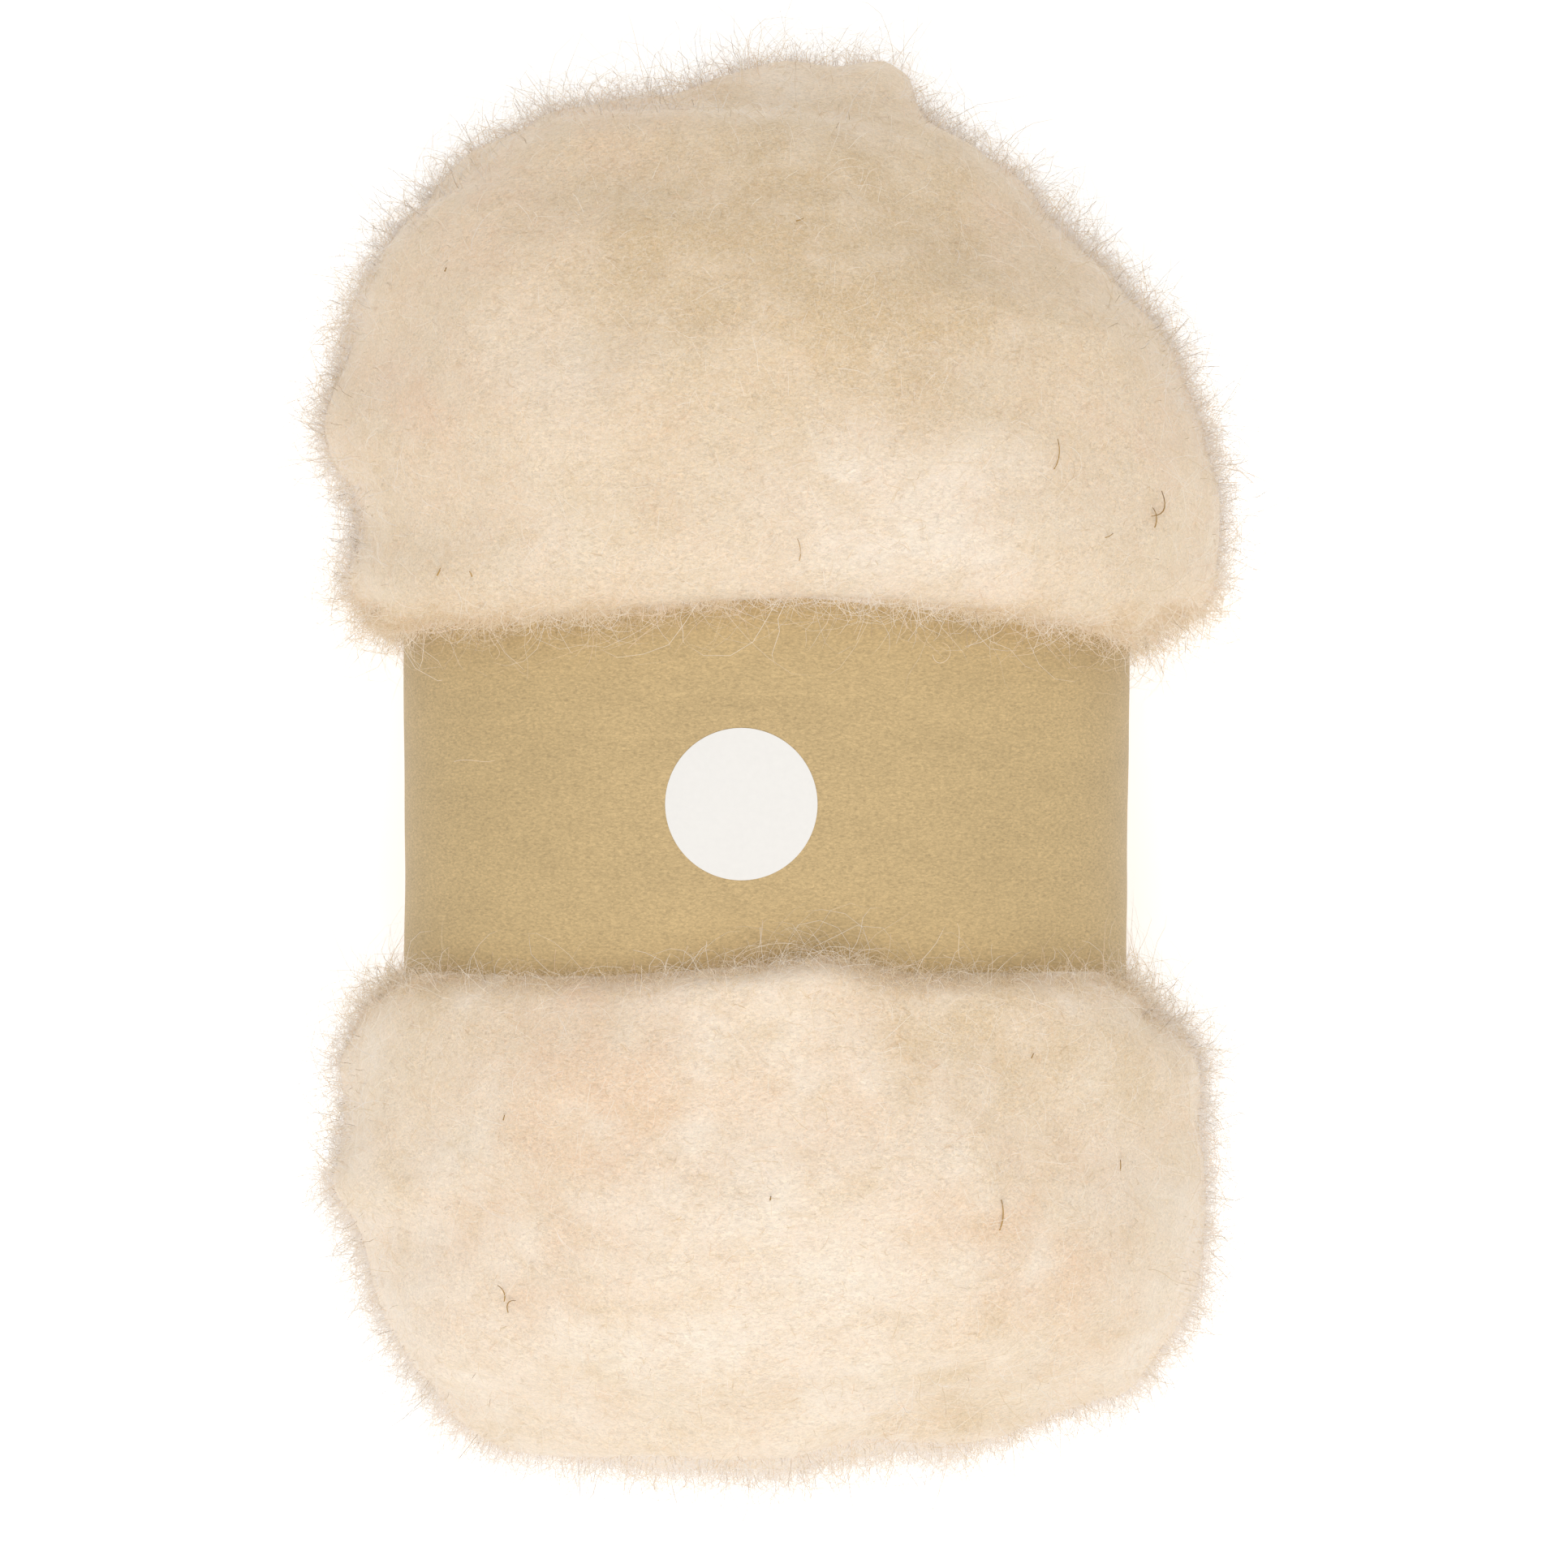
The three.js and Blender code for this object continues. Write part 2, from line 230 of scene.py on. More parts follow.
class FleeceSettings(bpy.types.PropertyGroup):
    """Sizes of the wool's solid part."""

    cell: FloatProperty(
        name="Mesh Cell", description="Size of the fleece mesh's cells", default=mm(2.0), unit="LENGTH"
    )
    pile: FloatProperty(
        name="Pile Depth",
        description="How far the fleece's dense part lies inside the roll's outline",
        default=mm(4.2),
        unit="LENGTH",
    )
    unevenness: FloatProperty(
        name="Unevenness",
        description="Height of the fleece's largest lumps",
        default=mm(1.0),
        unit="LENGTH",
    )


class FibreSettings(bpy.types.PropertyGroup):
    """Counts and sizes of the wool's fibres."""

    seed: IntProperty(name="Seed", description="Seed of every random choice", default=7)
    nap_count: IntProperty(
        name="Nap Fibres", description="Fibres that lie along each puff's face", default=10000, min=0
    )
    nap_length: FloatProperty(
        name="Nap Length", description="Usual length of a fibre in the nap", default=mm(3.2), unit="LENGTH"
    )
    haze_count: IntProperty(
        name="Haze Fibres", description="Fibres that loop off each puff's face", default=20000, min=0
    )
    haze_length: FloatProperty(
        name="Haze Length", description="Usual length of a looping fibre", default=mm(9.5), unit="LENGTH"
    )
    fuzz_count: IntProperty(
        name="Fuzz Fibres",
        description="Fibres that stand off each puff's face by one end",
        default=12500,
        min=0,
    )
    fuzz_length: FloatProperty(
        name="Fuzz Length",
        description="Usual length of a fibre that stands off",
        default=mm(5.5),
        unit="LENGTH",
    )
    fringe_count: IntProperty(
        name="Fringe Fibres",
        description="Short fibres that soften both edges over the paper",
        default=9400,
        min=0,
    )
    curl_count: IntProperty(
        name="Fringe Curls",
        description="Longer curled fibres over both edges of the paper",
        default=2600,
        min=0,
    )
    width: FloatProperty(
        name="Fibre Width", description="Usual width of a fibre", default=mm(0.055), unit="LENGTH"
    )


class BandSettings(bpy.types.PropertyGroup):
    """Sizes of the paper band and the label."""

    paper: FloatProperty(
        name="Paper Thickness", description="Thickness of the kraft paper", default=mm(0.25), unit="LENGTH"
    )
    buckle: FloatProperty(
        name="Buckle", description="Height of the paper's slow waves", default=mm(0.35), unit="LENGTH"
    )
    label_diameter: FloatProperty(
        name="Label Diameter", description="Width of the round label", default=mm(25.0), unit="LENGTH"
    )
    label_thickness: FloatProperty(
        name="Label Thickness",
        description="Thickness of the label's paper",
        default=mm(0.14),
        unit="LENGTH",
    )


class ColourSettings(bpy.types.PropertyGroup):
    """Colours of the wool and the papers."""

    cream: FloatVectorProperty(
        name="Cream",
        description="The wool's main colour",
        default=linear("#e3cfb1"),
        size=4,
        subtype="COLOR",
    )
    ivory: FloatVectorProperty(
        name="Ivory",
        description="The wool's palest fibres",
        default=linear("#f2e5d4"),
        size=4,
        subtype="COLOR",
    )
    peach: FloatVectorProperty(
        name="Peach",
        description="The wool's warm patches",
        default=linear("#e7ccb0"),
        size=4,
        subtype="COLOR",
    )
    fawn: FloatVectorProperty(
        name="Fawn",
        description="The wool's darker patches",
        default=linear("#d6bd98"),
        size=4,
        subtype="COLOR",
    )
    # Painted light: the sideways-facing wool is painted paler and greyer, to lift the shade on the sides
    rim: FloatVectorProperty(
        name="Rim",
        description="The wool where it thins out at the sides",
        default=linear("#eee4da"),
        size=4,
        subtype="COLOR",
    )
    kraft: FloatVectorProperty(
        name="Kraft", description="The band's paper", default=linear("#c3a97b"), size=4, subtype="COLOR"
    )
    label: FloatVectorProperty(
        name="Label", description="The label's paper", default=linear("#eae7e2"), size=4, subtype="COLOR"
    )
    straw: FloatVectorProperty(
        name="Straw", description="Pale bits of straw", default=linear("#c49d5b"), size=4, subtype="COLOR"
    )
    husk: FloatVectorProperty(
        name="Husk", description="Dark bits of straw", default=linear("#6b5133"), size=4, subtype="COLOR"
    )


class StageSettings(bpy.types.PropertyGroup):
    """Sizes of the camera, floor and lights."""

    camera_height: FloatProperty(
        name="Camera Height", description="Camera's height over the label", default=0.9, unit="LENGTH"
    )
    floor_size: FloatProperty(
        name="Floor Size", description="Width of the floor", default=3.0, unit="LENGTH"
    )
    key_power: FloatProperty(
        name="Key Power",
        description="Power of the light past the roll's lower end",
        default=6.4,
        unit="POWER",
    )
    sky: FloatProperty(name="Sky Light", description="Strength of the light from all round", default=0.5)


class BattSettings(bpy.types.PropertyGroup):
    """All that a user would change on the roll."""

    fleece: PointerProperty(type=FleeceSettings)
    fibre: PointerProperty(type=FibreSettings)
    band: PointerProperty(type=BandSettings)
    colour: PointerProperty(type=ColourSettings)
    stage: PointerProperty(type=StageSettings)


def from_picture(pixel, scale):
    """A picture's pixel as frame millimetres, for something that lies where the scale holds."""
    half = PICTURE["size"] / 2
    return (
        PICTURE["middle"][0] + (pixel[0] - half) / scale,
        PICTURE["middle"][1] - (pixel[1] - half) / scale,
    )


def smoothstep(low, high, value):
    """0 below low, 1 above high, and smooth between, for arrays."""
    t = np.clip((value - low) / (high - low), 0, 1)
    return t * t * (3 - 2 * t)


def unit(vectors):
    """Vectors of length 1."""
    return vectors / np.maximum(np.linalg.norm(vectors, axis=-1, keepdims=True), 1e-12)


def noise_at(points, size, shift=0.0, octaves=2):
    """Fractal noise from about -1 to 1 with features of this size in metres, at each point."""
    offset = Vector((shift, shift * 0.7, -shift))
    return np.array([
        noise.fractal(Vector(point) / size + offset, 1.0, 2.0, octaves, noise_basis="PERLIN_NEW")
        for point in points
    ])


# The noise that breaks up each tone: size (mm), shift, and how much of the tone it changes
TONE_NOISE = (("pale", 14, 3.1, 0.8), ("peach", 11, 7.3, 1.0), ("fawn", 8, 11.7, 1.0))


def tones_at(points):
    """How pale, how peach and how fawn the wool is at each point, from 0 to 1."""
    # The usual share of each tone, with the lower puff paler: in part paler wool and in part painted light
    # from the lamp past its end
    tones = {
        "pale": 0.12 + 0.5 * smoothstep(mm(10), mm(-40), points[:, 1]),
        "peach": np.full(len(points), 0.22),
        "fawn": np.full(len(points), 0.08),
    }
    for patch in TONE_PATCHES:
        x, y = from_picture(patch.at, PICTURE["at_outline"])
        away = np.hypot(points[:, 0] - mm(x), points[:, 1] - mm(y)) / mm(patch.width)
        above = smoothstep(mm(40), mm(70), points[:, 2])
        tones[patch.tone] += patch.strength * above * np.exp(-(away**2))
    for tone, size, shift, change in TONE_NOISE:
        tones[tone] = np.clip(tones[tone] * (1 + change * noise_at(points, mm(size), shift, 3)), 0, 1)
    return tones


def read_mesh(mesh):
    """A mesh's points, point normals and triangles as arrays."""
    mesh.calc_loop_triangles()
    points = np.empty(len(mesh.vertices) * 3, np.float32)
    normals = np.empty(len(mesh.vertices) * 3, np.float32)
    triangles = np.empty(len(mesh.loop_triangles) * 3, np.int32)
    mesh.vertices.foreach_get("co", points)
    mesh.vertex_normals.foreach_get("vector", normals)
    mesh.loop_triangles.foreach_get("vertices", triangles)
    points, normals = points.reshape(-1, 3).astype(float), normals.reshape(-1, 3).astype(float)
    return points, normals, triangles.reshape(-1, 3)


def add_piece(name, mesh, materials):
    """A finished piece that rides on the roll's body, with its materials in slots."""
    piece = bpy.data.objects.new(name, mesh)
    bpy.context.scene.collection.objects.link(piece)
    for material in materials:
        mesh.materials.append(material)
    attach(piece, "root")
    return piece


def mesh_from(shape, name):
    """A mesh made from an edited shape, which is then freed."""
    mesh = bpy.data.meshes.new(name)
    shape.to_mesh(mesh)
    shape.free()
    return mesh


def evaluated(mesh, modifiers):
    """The mesh that a stack of modifiers makes, with the modifiers applied."""
    carrier = bpy.data.objects.new("carrier", mesh)
    bpy.context.scene.collection.objects.link(carrier)
    for kind, settings in modifiers:
        modifier = carrier.modifiers.new(kind.title(), kind)
        for key, value in settings.items():
            setattr(modifier, key, value)
    graph = bpy.context.evaluated_depsgraph_get()
    graph.update()
    made = bpy.data.meshes.new_from_object(carrier.evaluated_get(graph))
    bpy.data.objects.remove(carrier)
    bpy.data.meshes.remove(mesh)
    return made


def add_node(tree, kind, links=None, **settings):
    """Adds a node. Settings are its properties, or its input values where an input has that name."""
    node = tree.nodes.new(kind)
    for key, value in settings.items():
        if hasattr(node, key):
            setattr(node, key, value)
        else:
            title = key.replace("_", " ").title()
            node.inputs[title if title in node.inputs else key].default_value = value
    for key, source in (links or {}).items():
        tree.links.new(source, node.inputs[key])
    return node


def new_material(name, roughness, sheen=0.0, specular=0.5):
    """A material with its Principled shader, whose constants sit on its own sockets."""
    material = bpy.data.materials.new(name)
    material.use_nodes = True
    shader = material.node_tree.nodes["Principled BSDF"]
    shader.inputs["Roughness"].default_value = roughness
    shader.inputs["Sheen Weight"].default_value = sheen
    shader.inputs["Sheen Roughness"].default_value = 0.5
    shader.inputs["Specular IOR Level"].default_value = specular
    return material, material.node_tree, shader


def per_metre(size_mm):
    """The scale of a noise whose features are this many millimetres."""
    return 1000.0 / size_mm


def noise_texture(tree, place, size_mm, detail, **settings):
    """A noise from 0 to 1 whose features are this many millimetres."""
    return add_node(
        tree, "ShaderNodeTexNoise", {"Vector": place}, scale=per_metre(size_mm), detail=detail, **settings
    ).outputs["Fac"]


def mapped(tree, value, **settings):
    """A value taken from one range to another, and kept inside it."""
    return add_node(tree, "ShaderNodeMapRange", {"Value": value}, **settings).outputs["Result"]


def feed(tree, value, socket):
    """Gives a socket its value, or links it to another node's output."""
    if isinstance(value, bpy.types.NodeSocket):
        tree.links.new(value, socket)
    else:
        socket.default_value = value


def calculated(tree, operation, *values):
    """The result of an operation on numbers or other nodes' outputs."""
    node = add_node(tree, "ShaderNodeMath", operation=operation)
    for socket, value in zip(node.inputs, values):
        feed(tree, value, socket)
    return node.outputs["Value"]


def bumped(tree, height, strength, distance, normal=None):
    """A normal tilted by a height from 0 to 1, over another bump's normal if there is one."""
    links = {"Height": height} if normal is None else {"Height": height, "Normal": normal}
    return add_node(tree, "ShaderNodeBump", links, Strength=strength, Distance=distance).outputs["Normal"]


# The places of a Mix node's two inputs and its result, for numbers and for colours
MIX_SOCKETS = {"FLOAT": (2, 3, 0), "RGBA": (6, 7, 2)}


def mixed(tree, amount, first, second, kind="RGBA", blend="MIX"):
    """A mix of two colours or numbers. The amount and both of them are values or nodes' outputs."""
    node = add_node(tree, "ShaderNodeMix", data_type=kind, blend_type=blend)
    first_place, second_place, result = MIX_SOCKETS[kind]
    feed(tree, amount, node.inputs["Factor"])
    feed(tree, first, node.inputs[first_place])
    feed(tree, second, node.inputs[second_place])
    return node.outputs[result]


def varied(tree, tone, amount, low, high, change):
    """A tone made darker and then lighter by this part of it, as an amount goes from low to high."""
    part = mapped(tree, amount, From_Min=low, From_Max=high)
    factor = mixed(tree, part, (1 - change,) * 3 + (1,), (1 + change,) * 3 + (1,))
    return mixed(tree, 1.0, tone, factor, blend="MULTIPLY")


def thread_lines(tree, place, size_mm, width):
    """Thin curled lines, 1 on them and 0 between them, which lie where a noise passes its middle value."""
    level = noise_texture(tree, place, size_mm, 1.0, distortion=1.5)
    away = calculated(tree, "ABSOLUTE", calculated(tree, "SUBTRACT", level, 0.5))
    return mapped(tree, away, From_Max=width, To_Min=1.0, To_Max=0.0)


def fleece_material(colour):
    """Matted carded wool: dull and soft, its fine fibres showing as pale threads with shade between."""
    material, tree, shader = new_material("carded_wool", roughness=1.0, sheen=0.75, specular=0.1)
    place = add_node(tree, "ShaderNodeTexCoord").outputs["Object"]
    # The lay of the wool: 35 degrees up across the upper puff and nearly level on the lower one, with
    # patches where it turns another 55 degrees
    along = add_node(tree, "ShaderNodeSeparateXYZ", {"Vector": place}).outputs["Y"]
    patches = noise_texture(tree, place, 9, 2.0, distortion=1.0)
    lays_of_wool, streaks_of_lays = [], []
    for lower, upper in ((0.1, -0.6), (-0.85, 0.35)):
        turn = mapped(tree, along, From_Min=mm(-10), From_Max=mm(10), To_Min=lower, To_Max=upper)
        turned = add_node(tree, "ShaderNodeCombineXYZ", {"Z": turn}).outputs["Vector"]
        lay = add_node(
            tree, "ShaderNodeMapping", {"Vector": place, "Rotation": turned}, Scale=(0.5, 1.0, 1.0)
        ).outputs["Vector"]
        lays_of_wool.append(lay)
        # Fibre streaks drawn 0.4 mm wide so that they show, though a wool fibre is 0.03 mm
        streaks_of_lays.append(noise_texture(tree, lay, 0.42, 3.0, roughness=0.75, distortion=1.0))
    swapped = mapped(tree, patches, From_Min=0.44, From_Max=0.6)
    streaks = mixed(tree, swapped, *streaks_of_lays, kind="FLOAT")
    clumps = noise_texture(tree, place, 6, 4.0, distortion=0.5)
    tone = colour.cream
    # The rim amount paints light on the sideways-facing wool
    for name in ("pale", "peach", "fawn", "rim"):
        amount = add_node(tree, "ShaderNodeAttribute", attribute_name=name).outputs["Fac"]
        tone = mixed(tree, amount, tone, getattr(colour, "ivory" if name == "pale" else name))
    tufts = noise_texture(tree, lays_of_wool[0], 4.5, 5.0, roughness=0.6, distortion=0.8)
    mottle = mapped(tree, tufts, From_Min=0.5, From_Max=0.72, To_Min=0.0, To_Max=0.36)
    tone = mixed(tree, mottle, tone, colour.fawn)
    # Painted shade between the fibre streaks and painted light on them, over the wool's own streaky tone
    tone = varied(tree, tone, streaks, 0.3, 0.7, 0.22)
    # Curled threads drawn 0.2 mm wide
    for size, width in ((1.3, 0.05), (0.8, 0.06)):
        thread = calculated(tree, "MULTIPLY", thread_lines(tree, place, size, width), 0.35)
        tone = mixed(tree, thread, tone, colour.ivory)
    bump = bumped(tree, clumps, 0.4, mm(0.5))
    bump = bumped(tree, streaks, 0.5, mm(0.16), bump)
    tree.links.new(tone, shader.inputs["Base Color"])
    tree.links.new(bump, shader.inputs["Normal"])
    shader.inputs["Sheen Tint"].default_value = colour.ivory
    # Light goes a few millimetres into the loose wool and comes out softened
    shader.inputs["Subsurface Weight"].default_value = 0.3
    shader.inputs["Subsurface Radius"].default_value = (1.0, 0.85, 0.7)
    shader.inputs["Subsurface Scale"].default_value = mm(3)
    return material


def fibre_material(name, colour):
    """One wool fibre's colour, the same along the whole fibre, with the soft glow of its scales."""
    material, _, shader = new_material(name, roughness=0.85, sheen=0.3, specular=0.2)
    shader.inputs["Base Color"].default_value = colour
    return material


def lay_of_wool(points, normals, rng):
    """The direction along the face in which each fibre lies: diagonal above the band, level below it."""
    upper = (points[:, 1] > 0)[:, None]
    main = np.where(upper, (0.86, 0.5, 0.1), (0.97, -0.2, 0.1))
    along = unit(main - normals * (main * normals).sum(1, keepdims=True))
    side = np.cross(normals, along)
    turn = 1.2 * noise_at(points, mm(30), 5.3, 1) + rng.normal(0, 0.5, len(points))
    flip = rng.choice([-1.0, 1.0], len(points))[:, None]
    return flip * (along * np.cos(turn)[:, None] + side * np.sin(turn)[:, None])


def scatter(surface, count, weight, rng):
    """Points and normals spread over a surface, as dense as the weight of each triangle asks."""
    points, normals, triangles = surface
    corners = points[triangles]
    first_side, second_side = corners[:, 1] - corners[:, 0], corners[:, 2] - corners[:, 0]
    area = np.linalg.norm(np.cross(first_side, second_side), axis=1) / 2
    centre = corners.mean(1)
    facing = unit(normals[triangles].mean(1))
    share = area * weight(centre, facing)
    chosen = rng.choice(len(triangles), count, p=share / share.sum())
    # Two random parts of each triangle's sides, folded back where they would fall outside it
    a, b = rng.random(count), rng.random(count)
    flip = a + b > 1
    a[flip], b[flip] = 1 - a[flip], 1 - b[flip]
    mix = np.stack([1 - a - b, a, b], axis=1)[:, :, None]
    return (corners[chosen] * mix).sum(1), unit((normals[triangles[chosen]] * mix).sum(1))


def curved_paths(roots, directions, sideways, lengths, bends, steps, kink, rng):
    """Paths that leave each root in a direction and turn sideways by their bend, in radians, over their
    length. The crimp of wool is a random turn of about a kink, in radians, at each point."""
    part = (np.arange(steps - 1) + 0.5) / (steps - 1)
    crimp = np.cumsum(rng.normal(0, kink, (2, len(roots), steps - 1)), axis=2)
    turn = (bends[:, None] * (part - 0.2)[None, :] + crimp[0])[..., None]
    lift = (0.6 * crimp[1])[..., None]
    third = np.cross(directions, sideways)[:, None]
    heading = directions[:, None] * np.cos(turn) + sideways[:, None] * np.sin(turn)
    heading = heading * np.cos(lift) + third * np.sin(lift)
    moved = np.cumsum(heading * (lengths / (steps - 1))[:, None, None], axis=1)
    return roots[:, None] + np.concatenate([np.zeros((len(roots), 1, 3)), moved], axis=1)


def ribbons(name, paths, facing, widths, tones, shade):
    """One mesh of thin ribbons, one along each path, which narrow to a point and stay above the ground.
    Their normals are near those of the wool under them, given by shade, so that they take its light."""
    count, steps = paths.shape[:2]
    paths[..., 2] = np.maximum(paths[..., 2], mm(0.1))
    across = unit(np.cross(np.gradient(paths, axis=1), facing))
    narrowing = 1 - 0.55 * np.linspace(0, 1, steps) ** 2
    edge = across * (widths[:, None, None] / 2) * narrowing[None, :, None]
    points = np.stack([paths - edge, paths + edge], axis=2).reshape(count, steps * 2, 3)[:, :-1]
    points[:, -1] = paths[:, -1]
    pairs = 2 * np.arange(steps - 2)
    quads = np.stack([pairs, pairs + 1, pairs + 3, pairs + 2], axis=-1).ravel()
    strip = np.concatenate([quads, [2 * steps - 4, 2 * steps - 3, 2 * steps - 2]])
    loops = strip[None, :] + (np.arange(count) * points.shape[1])[:, None]
    starts = 4 * np.arange(steps - 1)[None, :] + (np.arange(count) * len(strip))[:, None]
    mesh = bpy.data.meshes.new(name)
    mesh.vertices.add(count * points.shape[1])
    mesh.vertices.foreach_set("co", points.astype(np.float32).ravel())
    mesh.loops.add(loops.size)
    mesh.loops.foreach_set("vertex_index", loops.astype(np.int32).ravel())
    mesh.polygons.add(starts.size)
    mesh.polygons.foreach_set("loop_start", starts.astype(np.int32).ravel())
    mesh.polygons.foreach_set("material_index", np.repeat(tones, steps - 1).astype(np.int32))
    mesh.polygons.foreach_set("use_smooth", np.ones(starts.size, bool))
    mesh.update(calc_edges=True)
    mesh.normals_split_custom_set_from_vertices(np.repeat(unit(shade), points.shape[1], axis=0))
    return mesh


# The fibres' tones, in the order of their materials: four on the face, and one of painted light for the
# sides
TONES = ("ivory", "cream", "peach", "fawn", "rim")


def fibre_materials(colour):
    """The fibres' materials, one for each tone, which all their pieces share."""
    shades = {f"wool_fibre_{tone}": getattr(colour, tone) for tone in TONES}
    return [bpy.data.materials.get(name) or fibre_material(name, shade) for name, shade in shades.items()]


def fibre_tones(points, rng):
    """The index of each fibre's tone, after the patch of wool that it grows in."""
    tones = tones_at(points)
    cream = np.full(len(points), 0.5)
    chance = np.stack([0.15 + tones["pale"], cream, 0.8 * tones["peach"], 0.8 * tones["fawn"]])
    reach = np.cumsum(chance / chance.sum(0), axis=0)
    return (rng.random(len(points)) > reach[:3]).sum(0)


def add_fibres(mesh, colour, shadow=False):
    """A finished piece of fibres. Loose ones cast no shadow, because real wool lets the light through."""
    piece = add_piece(mesh.name, mesh, fibre_materials(colour))
    piece.visible_shadow = shadow
    return piece


def tilted(normals, spread, rng):
    """Normals turned a little at random."""
    return unit(normals + rng.normal(0, spread, normals.shape))


def fleece_piece():
    """The fleece's object, which the fibres grow on."""
    fleece = bpy.data.objects.get("fleece")
    if fleece is None:
        raise RuntimeError("the fleece is built before its fibres")
    return fleece


def surface_tree(*names):
    """A search tree over the faces of these pieces."""
    points, faces = [], []
    for name in names:
        places, _, triangles = read_mesh(bpy.data.objects[name].data)
        faces.extend((triangles + len(points)).tolist())
        points.extend(places.tolist())
    return BVHTree.FromPolygons(points, faces)


def top_of(tree, x, y):
    """The highest point of a surface at a place in metres, and its normal there."""
    point, normal, _, _ = tree.ray_cast(Vector((x, y, 0.3)), Vector((0, 0, -1)))
    if point is None:
        raise RuntimeError(f"nothing lies under {x:.4f}, {y:.4f}")
    return point, normal


def beyond_paper(place):
    """Whether each point lies past the paper's edges, and its reach from the middle, 1 on the paper."""
    across = np.abs(place[:, 0] - mm(BAND["centre"][0])) / mm(BAND["half_width"] + 1.0)
    up = np.abs(place[:, 2] - mm(BAND["centre"][1])) / mm(BAND["half_depth"] + 1.0)
    past = (place[:, 1] > mm(BAND["high_edge"])) | (place[:, 1] < mm(BAND["low_edge"]))
    return past, across ** BAND["squareness"] + up ** BAND["squareness"]


def from_lips(place):
    """How far each point lies along the roll from the nearer edge of the paper."""
    along = place[:, 1]
    return np.minimum(np.abs(along - mm(LIPS["upper"])), np.abs(along - mm(LIPS["lower"])))


def painted_side_light(most, upward, width, lip_distance):
    """How much painted side light the wool takes: the most where it faces sideways, and none beside the
    paper.
    """
    return most * np.exp(-((upward / width) ** 2)) * smoothstep(mm(4), mm(16), lip_distance)


def outside_band(place):
    """Whether each point lies outside the paper or past its edges, as wool under it doesn't."""
    past, reach = beyond_paper(place)
    return past | (reach > 1)


class BATT_OT_fleece(bpy.types.Operator):
    """Builds the wool's dense part from the CAD roll, lumpy and a pile's depth inside its outline"""

    bl_idname = "batt.fleece"
    bl_label = "Fleece"

    # Sizes of the lumps (mm), and for each its part of the unevenness and its octaves
    lumps = ((26, 1.0, 1), (11, 0.4, 2), (4.5, 0.18, 2))

    def execute(self, context):
        settings = context.scene.batt.fleece
        shape = bmesh.new()
        shape.from_mesh(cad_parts["wool_batt"].data)
        bmesh.ops.remove_doubles(shape, verts=shape.verts, dist=mm(0.01))
        mesh = mesh_from(shape, "fleece")
        mesh = evaluated(mesh, [
            ("REMESH", {"mode": "VOXEL", "voxel_size": settings.cell}),
            ("SMOOTH", {"factor": 0.5, "iterations": 5}),
        ])
        mesh.name = "fleece"
        points, normals, _ = read_mesh(mesh)
        along = points[:, 1]
        lip_distance = from_lips(points)
        free = smoothstep(mm(1), mm(26), lip_distance)
        free[(along > mm(LIPS["lower"])) & (along < mm(LIPS["upper"]))] = 0
        # From 0.5 mm inside the solid's outline beside the paper to a pile's depth in the open
        height = -(mm(0.5) + (settings.pile - mm(0.5)) * free)
        for size, part, octaves in self.lumps:
            lump = noise_at(points, mm(size), size, octaves)
            height += settings.unevenness * part * lump * (0.15 + 0.85 * free)
        points += normals * height[:, None]
        for bulge in OUTLINE:
            x, y = from_picture(bulge.at, PICTURE["at_outline"])
            away = np.hypot(points[:, 0] - mm(x), along - mm(y)) / mm(bulge.width)
            points[:, :2] += normals[:, :2] * (mm(bulge.height) * np.exp(-(away**2)))[:, None]
        past, reach = beyond_paper(points)
        clear = np.maximum(past, smoothstep(1.0, 1.12, reach))
        # The tufts are on the face only, and a rise only where the wool is clear of the paper
        above = smoothstep(mm(30), mm(60), points[:, 2])
        for tuft in TUFTS:
            across, up = (points[:, 0] - mm(tuft.x)) / mm(tuft.width), (along - mm(tuft.y)) / mm(tuft.depth)
            push = above * np.exp(-(np.hypot(across, up) ** 2))
            points[:, 2] += push * clear * mm(tuft.rise)
            points[:, 1] += push * mm(tuft.over)
        points[:, 2] = np.maximum(points[:, 2], mm(0.05))
        mesh.vertices.foreach_set("co", points.astype(np.float32).ravel())
        tones = tones_at(points)
        # Painted light: the wool that faces sideways is painted paler, towards the rim tone
        tones["rim"] = painted_side_light(0.32, read_mesh(mesh)[1][:, 2], 0.35, lip_distance)
        for name, values in tones.items():
            mesh.attributes.new(name, "FLOAT", "POINT").data.foreach_set("value", values.astype(np.float32))
        mesh.polygons.foreach_set("use_smooth", np.ones(len(mesh.polygons), bool))
        mesh.update()
        mesh.materials.clear()
        fleece = add_piece("fleece", mesh, [fleece_material(context.scene.batt.colour)])
        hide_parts("wool_batt")
        return {"FINISHED"}


PUFFS = {
    "upper": lambda place: (place[:, 1] > mm(LIPS["upper"] - 6)) & outside_band(place),
    "lower": lambda place: (place[:, 1] < mm(LIPS["lower"] + 7)) & outside_band(place),
}


def by_side(facing):
    """Fewer fibres on the underside, which the roll lies on, and most round its sides."""
    sides = np.exp(-((facing[:, 2] / 0.22) ** 2))
    return 0.12 + 0.25 * smoothstep(-0.75, -0.1, facing[:, 2]) + 3.0 * sides


